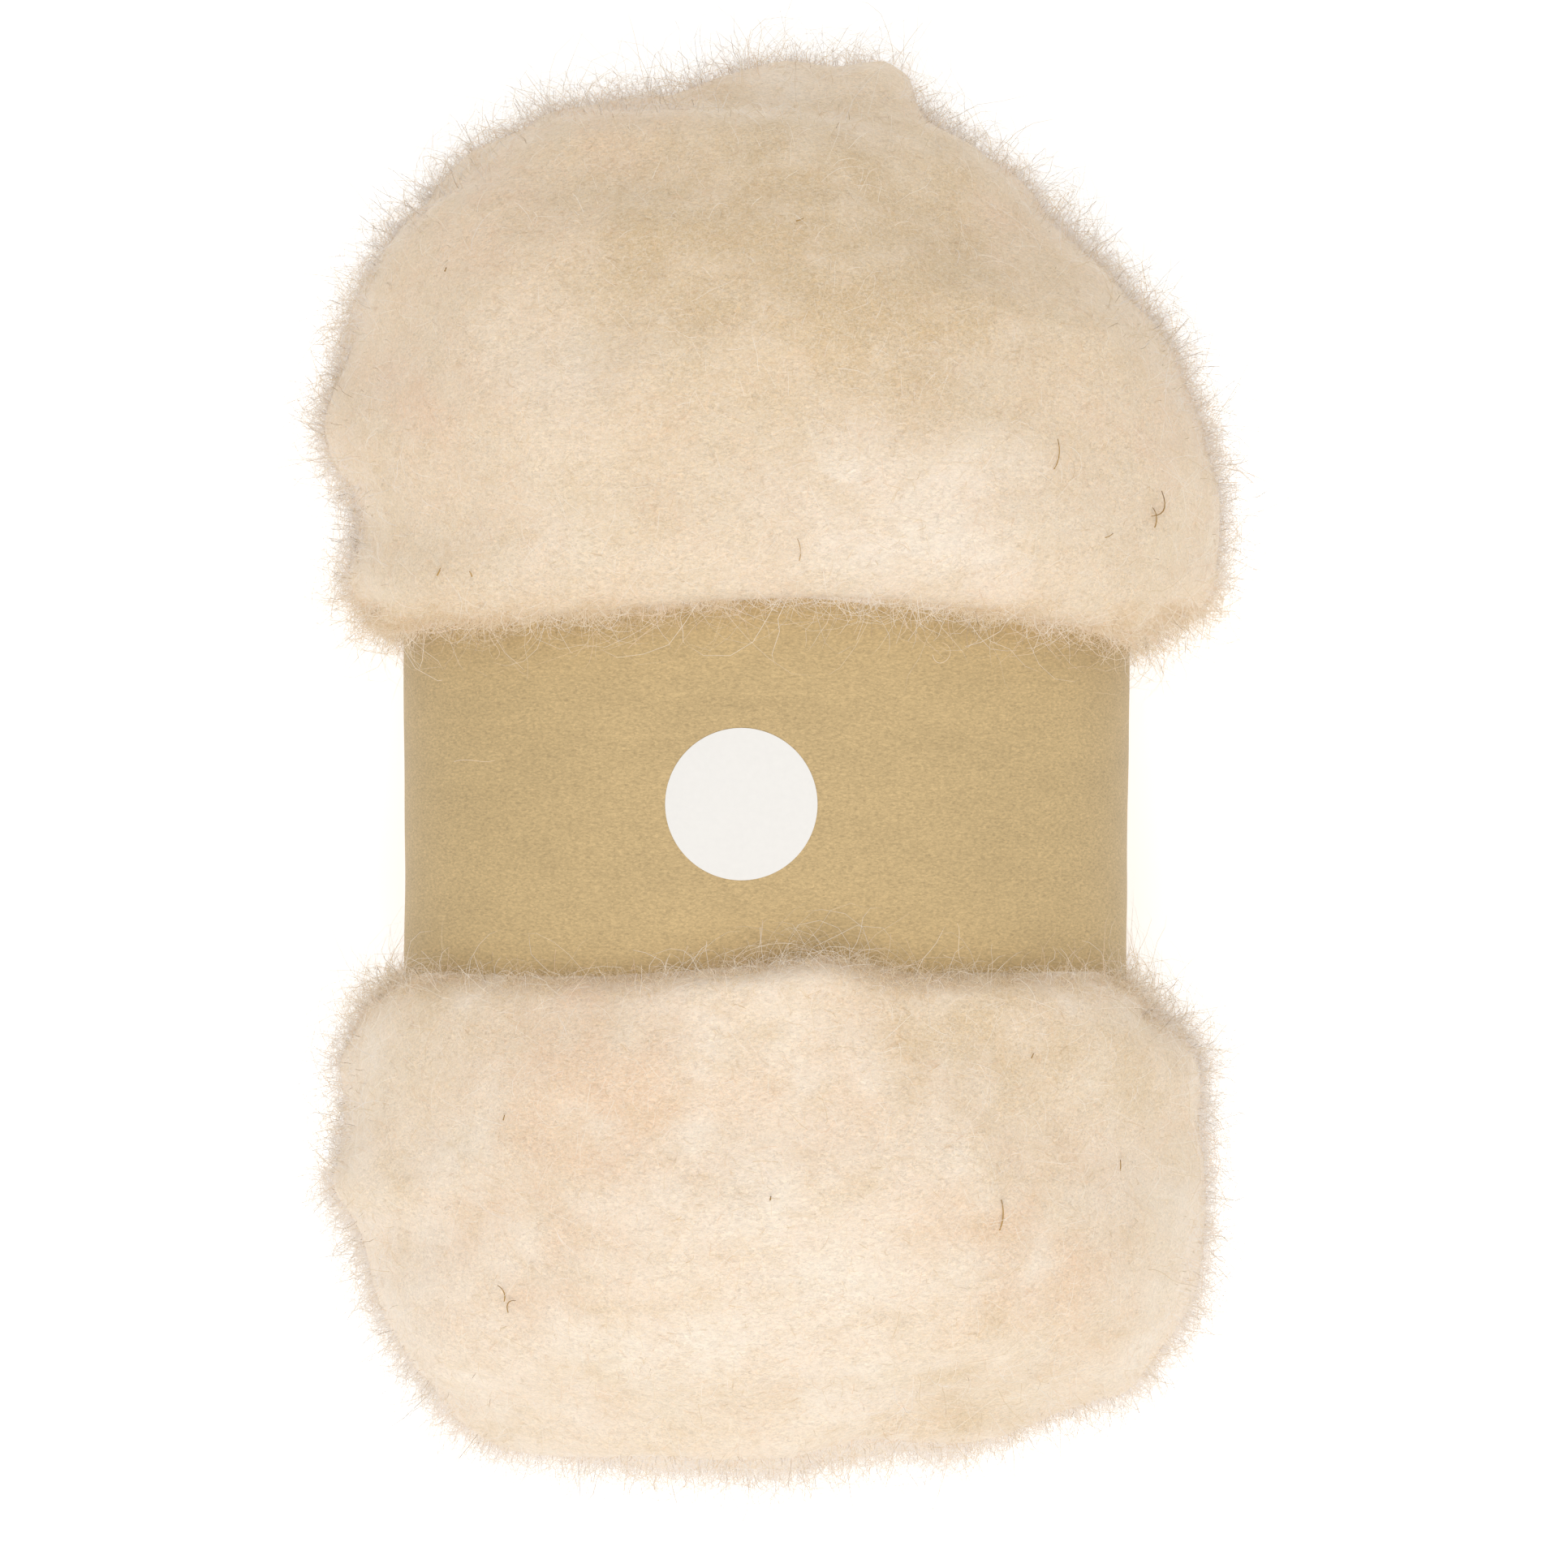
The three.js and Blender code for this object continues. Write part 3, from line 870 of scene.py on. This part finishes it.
class BATT_OT_nap(bpy.types.Operator):
    """Lays short matted fibres along the face of both puffs"""

    bl_idname = "batt.nap"
    bl_label = "Nap"

    steps = 4

    def execute(self, context):
        settings = context.scene.batt.fibre
        surface = read_mesh(fleece_piece().data)
        tree = surface_tree("fleece")
        for seed, (puff, inside) in enumerate(PUFFS.items(), settings.seed):
            rng = np.random.default_rng(seed)
            count = settings.nap_count
            # Fewer on the underside
            roots, normals = scatter(
                surface, count, lambda place, facing: (0.3 + (facing[:, 2] > -0.5)) * inside(place), rng
            )
            lay = lay_of_wool(roots, normals, rng)
            side = np.cross(normals, lay)
            lengths = settings.nap_length * rng.uniform(0.5, 1.4, count)
            paths = curved_paths(roots, lay, side, lengths, rng.normal(0, 1.0, count), self.steps, 0.5, rng)
            part = np.linspace(0, 1, self.steps)
            # Just over half are loops with both ends in the wool, and the others rise to a free end
            loops = rng.random(count) < 0.55
            profile = np.where(loops[:, None], np.sin(math.pi * part)[None], (part**1.4)[None])
            rise = np.clip(rng.exponential(mm(0.25), count), mm(0.1), mm(1.0))
            height = profile * rise[:, None] - mm(0.12)
            facing = np.empty_like(paths)
            for i, path in enumerate(paths):
                for k, point in enumerate(path):
                    near, normal, _, _ = tree.find_nearest(point)
                    paths[i, k] = near + normal * height[i, k]
                    facing[i, k] = normal
            facing = unit(facing + rng.normal(0, 0.25, (count, 1, 3)))
            widths = settings.width * rng.uniform(0.9, 1.8, count)
            tones = fibre_tones(roots, rng)
            mesh = ribbons(f"nap_{puff}", paths, facing, widths, tones, tilted(normals, 0.1, rng))
            add_fibres(mesh, context.scene.batt.colour, shadow=True)
        return {"FINISHED"}


class BATT_OT_fuzz(bpy.types.Operator):
    """Stands thin curved fibres off the face of both puffs, for their soft outline"""

    bl_idname = "batt.fuzz"
    bl_label = "Fuzz"

    # Points along a fibre of each kind, its crimp (radians), and how far its end turns back to the wool, as
    # a part of the angle at which it leaves: loops come back and free ends may not
    kinds = {"haze": (6, 0.25, 0.6, 1.1), "fuzz": (7, 0.5, 0.0, 1.0)}

    def execute(self, context):
        settings = context.scene.batt.fibre
        surface = read_mesh(fleece_piece().data)
        rng = np.random.default_rng(settings.seed + 10)
        for kind, (steps, kink, least, most) in self.kinds.items():
            for puff, inside in PUFFS.items():
                count = getattr(settings, f"{kind}_count")
                roots, normals = scatter(
                    surface, count, lambda place, facing: by_side(facing) * inside(place), rng
                )
                lay = unit(np.cross(normals, rng.normal(0, 1, (count, 3))))
                # The angle between each fibre and the face where it leaves it (radians)
                leaving = rng.uniform(0.2, 1.5, count)
                bends = leaving * (1 + rng.uniform(least, most, count))
                start = leaving - 0.2 * bends
                heading = lay * np.cos(start)[:, None] + normals * np.sin(start)[:, None]
                over = lay * np.sin(start)[:, None] - normals * np.cos(start)[:, None]
                usual = getattr(settings, f"{kind}_length")
                lengths = usual * np.clip(rng.gamma(2.6, 0.38, count), 0.2, 2.3)
                lengths *= 1 - 0.5 * smoothstep(0.4, 0.8, normals[:, 2])
                rooted = roots - normals * mm(0.2)
                paths = curved_paths(rooted, heading, over, lengths, bends, steps, kink, rng)
                # Leaning upwards, so that the loose wool at the sides is as bright as the face
                outward = normals + np.array([0, 0, 0.95])
                facing = np.repeat(tilted(outward, 0.15, rng)[:, None], steps, 1)
                widths = settings.width * rng.uniform(0.7, 1.6, count)
                shades = fibre_tones(roots, rng)
                # Painted light: many fibres on the sideways-facing wool take the paler rim tone
                thin = painted_side_light(0.65, normals[:, 2], 0.4, from_lips(roots))
                shades[rng.random(count) < thin] = TONES.index("rim")
                mesh = ribbons(f"{kind}_{puff}", paths, facing, widths, shades, tilted(outward, 0.1, rng))
                add_fibres(mesh, context.scene.batt.colour)
        return {"FINISHED"}


def signed_power(value, power):
    """A power of a number's size, with the number's own sign."""
    return math.copysign(abs(value) ** power, value)


def around_band(degrees, outward, height):
    """A point on the band's section, at an angle, this far outside the paper's inner face (mm)."""
    angle = math.radians(degrees)
    across = signed_power(math.cos(angle), 2 / BAND["squareness"])
    up = signed_power(math.sin(angle), 2 / BAND["squareness"])
    tall = (height - BAND["low_edge"]) / (BAND["high_edge"] - BAND["low_edge"])
    half_width = BAND["half_width"] + (BAND["taper"] * (tall - 0.5) if across > 0 else 0)
    normal = Vector((
        signed_power(across, BAND["squareness"] - 1) / half_width,
        signed_power(up, BAND["squareness"] - 1) / BAND["half_depth"],
    )).normalized()
    return (
        BAND["centre"][0] + half_width * across + outward * normal.x,
        BAND["centre"][1] + BAND["half_depth"] * up + outward * normal.y,
    )


# Creases across the paper's front (mm): place along the roll, start and end across it, depth and width
Crease = namedtuple("Crease", "y start end depth width")
PAPER_CREASES = [
    Crease(12.6, -17, 12, 0.28, 1.6),
    Crease(5.9, -30, -13, 0.35, 1.4),
    Crease(8.2, -56, -34, 0.3, 3.0),
]


def painted_crease_shade(tree, place, wander, crease):
    """A thin wandering line of painted shade along a crease of the paper's front, 1 on it and 0 away from
    it.
    """
    split = add_node(tree, "ShaderNodeSeparateXYZ", {"Vector": place}).outputs
    # The line wanders 1.5 mm either way with the pulp's clouds
    y = calculated(tree, "MULTIPLY_ADD", wander, mm(3), split["Y"])
    away = calculated(tree, "ABSOLUTE", calculated(tree, "SUBTRACT", y, mm(crease.y + 1.5)))
    line = mapped(tree, away, From_Max=mm(0.45), To_Min=1.0, To_Max=0.0)
    for start, end in ((crease.start - 5, crease.start + 5), (crease.end + 5, crease.end - 5)):
        fade = mapped(tree, split["X"], From_Min=mm(start), From_Max=mm(end))
        line = calculated(tree, "MULTIPLY", line, fade)
    return line


def kraft_material(colour):
    """Uncoated kraft paper: matt and fibrous, with short dark and pale fibres, and the painted shade of
    faint creases.
    """
    material, tree, shader = new_material("kraft_paper", roughness=0.8, sheen=0.1, specular=0.35)
    place = add_node(tree, "ShaderNodeTexCoord").outputs["Object"]
    # Pulp clouds of about 7 mm and paper fibres of about 0.3 mm, longer along the strip than across it
    drawn_out = (0.45, 1.0, 0.45)
    strip = add_node(tree, "ShaderNodeMapping", {"Vector": place}, Scale=drawn_out).outputs["Vector"]
    clouds = noise_texture(tree, strip, 7, 5.0, roughness=0.6)
    fibres = noise_texture(tree, strip, 0.32, 3.0, roughness=0.75, distortion=0.6)
    tone = colour.kraft
    layers = [(clouds, 0.35, 0.65, 0.04), (fibres, 0.3, 0.7, 0.25)]
    # Painted shade: each crease darkens the paper along a thin line
    layers += [(painted_crease_shade(tree, place, clouds, crease), -1.0, 1.0, 0.07) for crease in PAPER_CREASES]
    for amount, low, high, change in layers:
        tone = varied(tree, tone, amount, low, high, change)
    tree.links.new(tone, shader.inputs["Base Color"])
    tree.links.new(bumped(tree, fibres, 0.25, mm(0.08)), shader.inputs["Normal"])
    return material


class BATT_OT_band(bpy.types.Operator):
    """Wraps a strip of kraft paper round the waist, with its end lapped over its start on the underside"""

    bl_idname = "batt.band"
    bl_label = "Band"

    def execute(self, context):
        settings = context.scene.batt.band
        shape = bmesh.new()
        bmesh.ops.create_grid(shape, x_segments=210, y_segments=30, size=0.5)
        turn = 360 + BAND["lap_length"]
        tall = BAND["high_edge"] - BAND["low_edge"]
        # The strip is laid out in millimetres, its middle this far outside the CAD band's inner face
        paper, waves = settings.paper / mm(1), settings.buckle / mm(1)
        lie = 1.0 - paper
        for vert in shape.verts:
            height = BAND["low_edge"] + (vert.co.y + 0.5) * tall
            part = vert.co.x + 0.5
            degrees = BAND["lap_start"] + part * turn
            # The end rises over the start within 14 degrees, and lies 0.05 mm off it
            lapped = smoothstep(360 - 14, 360, part * turn) * (paper + 0.05)
            x, z = around_band(degrees, lie + float(lapped), height)
            place = Vector((x / 38, height / 26, z / 38))
            wave = waves * noise.fractal(place, 1.0, 2.0, 2)
            if z > BAND["centre"][1]:
                for crease in PAPER_CREASES:
                    ends = smoothstep(crease.start - 6, crease.start + 6, x) * smoothstep(
                        crease.end + 6, crease.end - 6, x
                    )
                    off = (height - crease.y) / crease.width
                    wave -= crease.depth * float(ends) * math.exp(-(off**2))
            inside = BAND["low_edge"] + 2 < height < BAND["high_edge"] - 2
            x, z = around_band(degrees, lie + float(lapped) + (wave if inside else 0.5 * wave), height)
            vert.co = mm(Vector((x, height, z)))
        bmesh.ops.recalc_face_normals(shape, faces=shape.faces)
        mesh = mesh_from(shape, "band")
        mesh = evaluated(mesh, [("SOLIDIFY", {"thickness": settings.paper, "offset": 0.0})])
        mesh.name = "band"
        mesh.polygons.foreach_set("use_smooth", np.ones(len(mesh.polygons), bool))
        band = add_piece("band", mesh, [kraft_material(context.scene.batt.colour)])
        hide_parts("kraft_band")
        return {"FINISHED"}


def label_material(colour):
    """A smooth sticker of off-white paper with a faint grain."""
    material, tree, shader = new_material("label_paper", roughness=0.5, specular=0.45)
    place = add_node(tree, "ShaderNodeTexCoord").outputs["Object"]
    grain = noise_texture(tree, place, 0.9, 4.0)
    darker = tuple(channel * 0.97 for channel in colour.label[:3]) + (1,)
    paler = tuple(min(1, channel * 1.03) for channel in colour.label[:3]) + (1,)
    tree.links.new(mixed(tree, grain, darker, paler), shader.inputs["Base Color"])
    tree.links.new(bumped(tree, grain, 0.1, mm(0.05)), shader.inputs["Normal"])
    return material


class BATT_OT_label(bpy.types.Operator):
    """Sticks the round label on the band's front"""

    bl_idname = "batt.label"
    bl_label = "Label"

    def execute(self, context):
        settings = context.scene.batt.band
        low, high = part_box("round_label")
        centre = (Vector(low) + Vector(high)) / 2
        paper = surface_tree("band")
        shape = bmesh.new()
        rings = 10
        spoke = [shape.verts.new((settings.label_diameter / 2 * k / rings, 0, 0)) for k in range(rings + 1)]
        edges = [shape.edges.new(pair) for pair in zip(spoke, spoke[1:])]
        bmesh.ops.spin(shape, geom=spoke + edges, axis=(0, 0, 1), cent=(0, 0, 0), angle=math.tau, steps=120,
                       use_merge=True)
        bmesh.ops.remove_doubles(shape, verts=shape.verts, dist=mm(0.005))
        for vert in shape.verts:
            x, y = centre.x + vert.co.x, centre.y + vert.co.y
            top, _ = top_of(paper, x, y)
            vert.co = (x, y, top.z + mm(0.02))
        bmesh.ops.recalc_face_normals(shape, faces=shape.faces)
        if sum(face.normal.z for face in shape.faces) < 0:
            bmesh.ops.reverse_faces(shape, faces=shape.faces)
        mesh = mesh_from(shape, "label")
        mesh = evaluated(mesh, [("SOLIDIFY", {"thickness": settings.label_thickness, "offset": 1.0})])
        mesh.name = "label"
        label = add_piece("label", mesh, [label_material(context.scene.batt.colour)])
        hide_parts("round_label")
        return {"FINISHED"}


class BATT_OT_fringe(bpy.types.Operator):
    """Lets loose curled fibres stray over the edges of the paper, with the single hairs that show"""

    bl_idname = "batt.fringe"
    bl_label = "Fringe"

    # For each mesh: its setting, points along a fibre, usual length (mm), turn away from straight over the
    # edge and its spread, bend and crimp (radians)
    kinds = {
        "fringe": ("fringe_count", 6, 2.6, 1.1, 0.5, 1.5, 0.9),
        "curls": ("curl_count", 11, 3.5, 1.2, 0.4, 1.6, 0.8),
    }

    def execute(self, context):
        settings = context.scene.batt.fibre
        surface = read_mesh(fleece_piece().data)
        rng = np.random.default_rng(settings.seed + 20)

        def near_lips(place, facing):
            upper = (facing[:, 1] < 0.1) & (place[:, 1] > 0) & (place[:, 1] < mm(LIPS["upper"] + 6))
            lower = (facing[:, 1] > -0.1) & (place[:, 1] < 0) & (place[:, 1] > mm(LIPS["lower"] - 4))
            shown = 0.15 + 0.85 * smoothstep(mm(30), mm(60), place[:, 2])
            bunched = np.clip(0.6 + 1.6 * noise_at(place, mm(9), 2.7, 2), 0.1, 2)
            return (upper + 0.6 * lower) * outside_band(place) * shown * np.abs(facing[:, 1]) * bunched

        for name, (number, steps, usual, turned, spread, bend, kink) in self.kinds.items():
            count = getattr(settings, number)
            roots, normals = scatter(surface, count, near_lips, rng)
            inward = np.where(roots[:, 1] > 0, -1.0, 1.0)[:, None] * np.array([[0.0, 1.0, 0.0]])
            along = unit(np.cross(inward, normals))
            turn = rng.choice([-1.0, 1.0], count) * rng.normal(turned, spread, count)
            heading = unit(inward * np.cos(turn)[:, None] + along * np.sin(turn)[:, None] + 0.3 * normals)
            side = unit(np.cross(normals, heading))
            lengths = mm(usual) * np.clip(rng.gamma(4.0, 0.25, count), 0.3, 1.8)
            bends = rng.normal(0, bend, count)
            paths = curved_paths(roots, heading, side, lengths, bends, steps, kink, rng)
            # Mostly upwards, so that they take the light of the paper under them
            outward = 0.4 * normals + np.array([0, 0, 0.8])
            facing = np.repeat(tilted(outward, 0.15, rng)[:, None], steps, 1)
            widths = settings.width * rng.uniform(0.7, 1.4, count)
            # Cream and fawn only, warmer than the face: painted warm light, which the fibres over the paper
            # take from the kraft
            tones = rng.choice([TONES.index("cream"), TONES.index("fawn")], count)
            mesh = ribbons(name, paths, facing, widths, tones, outward)
            add_fibres(mesh, context.scene.batt.colour)
        self.single_hairs(context)
        return {"FINISHED"}

    def single_hairs(self, context):
        """Lays the single hairs on what is under them."""
        tree = surface_tree("fleece", "band")
        part = np.linspace(0, 1, 28)
        paths = []
        for hair in SINGLE_HAIRS:
            places = np.array([from_picture(pixel, PICTURE["at_label"]) for pixel in hair.points])
            knots = np.linspace(0, 1, len(places))
            smooth = np.polynomial.polynomial.polyfit(knots, places, min(3, len(places) - 1))
            flat = np.polynomial.polynomial.polyval(part, smooth).T
            rise = hair.rise * np.sin(math.pi * part) + 0.1
            heights = np.array([top_of(tree, mm(x), mm(y))[0].z for x, y in flat])
            # Smoothed upwards only, so that a hair doesn't sink into the wool
            for _ in range(6):
                heights[1:-1] = np.maximum(heights[1:-1], (heights[:-2] + heights[1:-1] + heights[2:]) / 3)
            paths.append(np.column_stack([mm(flat), heights + mm(rise)]))
        paths = np.array(paths)
        facing = np.zeros_like(paths)
        facing[..., 2] = 1
        widths = np.full(len(paths), mm(0.11))
        tones = np.full(len(paths), TONES.index("cream"))
        mesh = ribbons("single_hairs", paths, facing, widths, tones, facing[:, 0])
        add_fibres(mesh, context.scene.batt.colour)


def straw_material(colour):
    """Dry straw: dull tan with darker ends and streaks along it."""
    material, tree, shader = new_material("dry_straw", roughness=0.7, specular=0.3)
    place = add_node(tree, "ShaderNodeTexCoord").outputs["Object"]
    streaks = noise_texture(tree, place, 0.8, 3.0)
    dark = add_node(tree, "ShaderNodeAttribute", attribute_name="dark").outputs["Fac"]
    amount = calculated(tree, "MULTIPLY_ADD", streaks, 0.3, dark)
    tone = mixed(tree, amount, colour.straw, colour.husk)
    tree.links.new(tone, shader.inputs["Base Color"])
    return material


class BATT_OT_straw(bpy.types.Operator):
    """Beds small bits of straw in the wool's face"""

    bl_idname = "batt.straw"
    bl_label = "Straw"

    def execute(self, context):
        tree = surface_tree("fleece")
        shape = bmesh.new()
        darkness = shape.verts.layers.float.new("dark")
        for bit in STRAW:
            x, y = from_picture(bit.at, PICTURE["at_label"])
            top, normal = top_of(tree, mm(x), mm(y))
            before = len(shape.verts)
            made = bmesh.ops.create_cone(shape, cap_ends=True, segments=7, radius1=mm(bit.width / 2),
                                         radius2=mm(bit.width / 3), depth=mm(bit.length))
            edges = {edge for vert in made["verts"] for edge in vert.link_edges}
            long_edges = [edge for edge in edges if abs(edge.verts[0].co.z - edge.verts[1].co.z) > mm(0.1)]
            bmesh.ops.subdivide_edges(shape, edges=long_edges, cuts=6)
            verts = list(shape.verts)[before:]
            turn = math.radians(bit.turn)
            ahead = Vector((math.sin(turn), math.cos(turn), 0))
            ahead = (ahead - normal * ahead.dot(normal)).normalized()
            side = normal.cross(ahead)
            for vert in verts:
                part = vert.co.z / mm(bit.length)
                bow = mm(bit.length) * bit.bend * (part**2 - 0.08)
                # The far end of each bit is darker
                vert[darkness] = 0.6 * bit.dark + (0.35 if part > 0.35 else 0.0) - 0.15
                # The bits lie 0.75 mm above the dense wool, among its fibres
                raised = vert.co.y + mm(0.75)
                vert.co = top + normal * raised + ahead * vert.co.z + side * (vert.co.x + bow)
        bmesh.ops.recalc_face_normals(shape, faces=shape.faces)
        mesh = mesh_from(shape, "straw")
        add_piece("straw", mesh, [straw_material(context.scene.batt.colour)])
        return {"FINISHED"}


class BATT_OT_stage(bpy.types.Operator):
    """Sets the pale floor, the soft lights and the camera straight above the roll"""

    bl_idname = "batt.stage"
    bl_label = "Stage"

    def execute(self, context):
        settings = context.scene.batt.stage
        shape = bmesh.new()
        bmesh.ops.create_grid(shape, x_segments=1, y_segments=1, size=settings.floor_size / 2)
        mesh = mesh_from(shape, "floor")
        floor = bpy.data.objects.new("floor", mesh)
        material, _, shader = new_material("pale_floor", roughness=0.9, specular=0.1)
        shader.inputs["Base Color"].default_value = linear("#fbfbfb")
        shader.inputs["Emission Color"].default_value = (1, 1, 1, 1)
        shader.inputs["Emission Strength"].default_value = 0.4
        mesh.materials.append(material)
        context.scene.collection.objects.link(floor)

        world = bpy.data.worlds.new("studio")
        world.use_nodes = True
        sky = world.node_tree.nodes["Background"]
        sky.inputs["Color"].default_value = (1, 1, 1, 1)
        sky.inputs["Strength"].default_value = settings.sky
        context.scene.world = world
        # The lights' places and sizes in metres: one past the roll's lower end, and one past its upper end
        lights = [
            {"name": "key", "at": (-0.05, -0.62, 1.05), "size": 0.6, "power": settings.key_power},
            {"name": "fill", "at": (0.15, 0.5, 1.1), "size": 0.9, "power": settings.key_power * 0.55},
        ]
        for light in lights:
            data = bpy.data.lights.new(light["name"], "AREA")
            data.energy = light["power"]
            data.size = light["size"]
            lamp = bpy.data.objects.new(light["name"], data)
            lamp.location = light["at"]
            lamp.rotation_euler = (Vector((0, 0, 0.05)) - lamp.location).to_track_quat("-Z", "Y").to_euler()
            context.scene.collection.objects.link(lamp)

        data = bpy.data.cameras.new("camera")
        data.sensor_width = 36.0
        seen = mm(PICTURE["size"] / PICTURE["at_label"])
        data.lens = data.sensor_width * settings.camera_height / seen
        data.clip_start = 0.01
        camera = bpy.data.objects.new("camera", data)
        x, y = PICTURE["middle"]
        camera.location = (mm(x), mm(y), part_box("round_label")[1][2] + settings.camera_height)
        context.scene.collection.objects.link(camera)
        context.scene.camera = camera
        context.scene.view_settings.view_transform = "Standard"
        context.scene.view_settings.look = "None"
        return {"FINISHED"}


class BATT_PT_panel(bpy.types.Panel):
    """Lists the roll's pieces in the order in which they are built"""

    bl_idname = "BATT_PT_panel"
    bl_label = "Wool Batt"
    bl_space_type = "VIEW_3D"
    bl_region_type = "UI"
    bl_category = "Wool Batt"

    def draw(self, context):
        for operator in OPERATORS:
            self.layout.operator(operator.bl_idname)
        for group in ("fleece", "fibre", "band", "colour", "stage"):
            settings = getattr(context.scene.batt, group)
            box = self.layout.box()
            for name in settings.__annotations__:
                box.prop(settings, name)


OPERATORS = (
    BATT_OT_fleece,
    BATT_OT_nap,
    BATT_OT_fuzz,
    BATT_OT_band,
    BATT_OT_label,
    BATT_OT_fringe,
    BATT_OT_straw,
    BATT_OT_stage,
)
GROUPS = (FleeceSettings, FibreSettings, BandSettings, ColourSettings, StageSettings, BattSettings)
CLASSES = (*GROUPS, *OPERATORS, BATT_PT_panel)


def register():
    """Adds the classes and the roll's settings."""
    for cls in CLASSES:
        bpy.utils.register_class(cls)
    bpy.types.Scene.batt = PointerProperty(type=BattSettings)


def unregister():
    """Takes them away again."""
    del bpy.types.Scene.batt
    for cls in reversed(CLASSES):
        bpy.utils.unregister_class(cls)


def main():
    """Builds every piece and the stage."""
    register()
    for operator in OPERATORS:
        group, name = operator.bl_idname.split(".")
        getattr(getattr(bpy.ops, group), name)()
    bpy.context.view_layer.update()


if __name__ == "__main__":
    main()
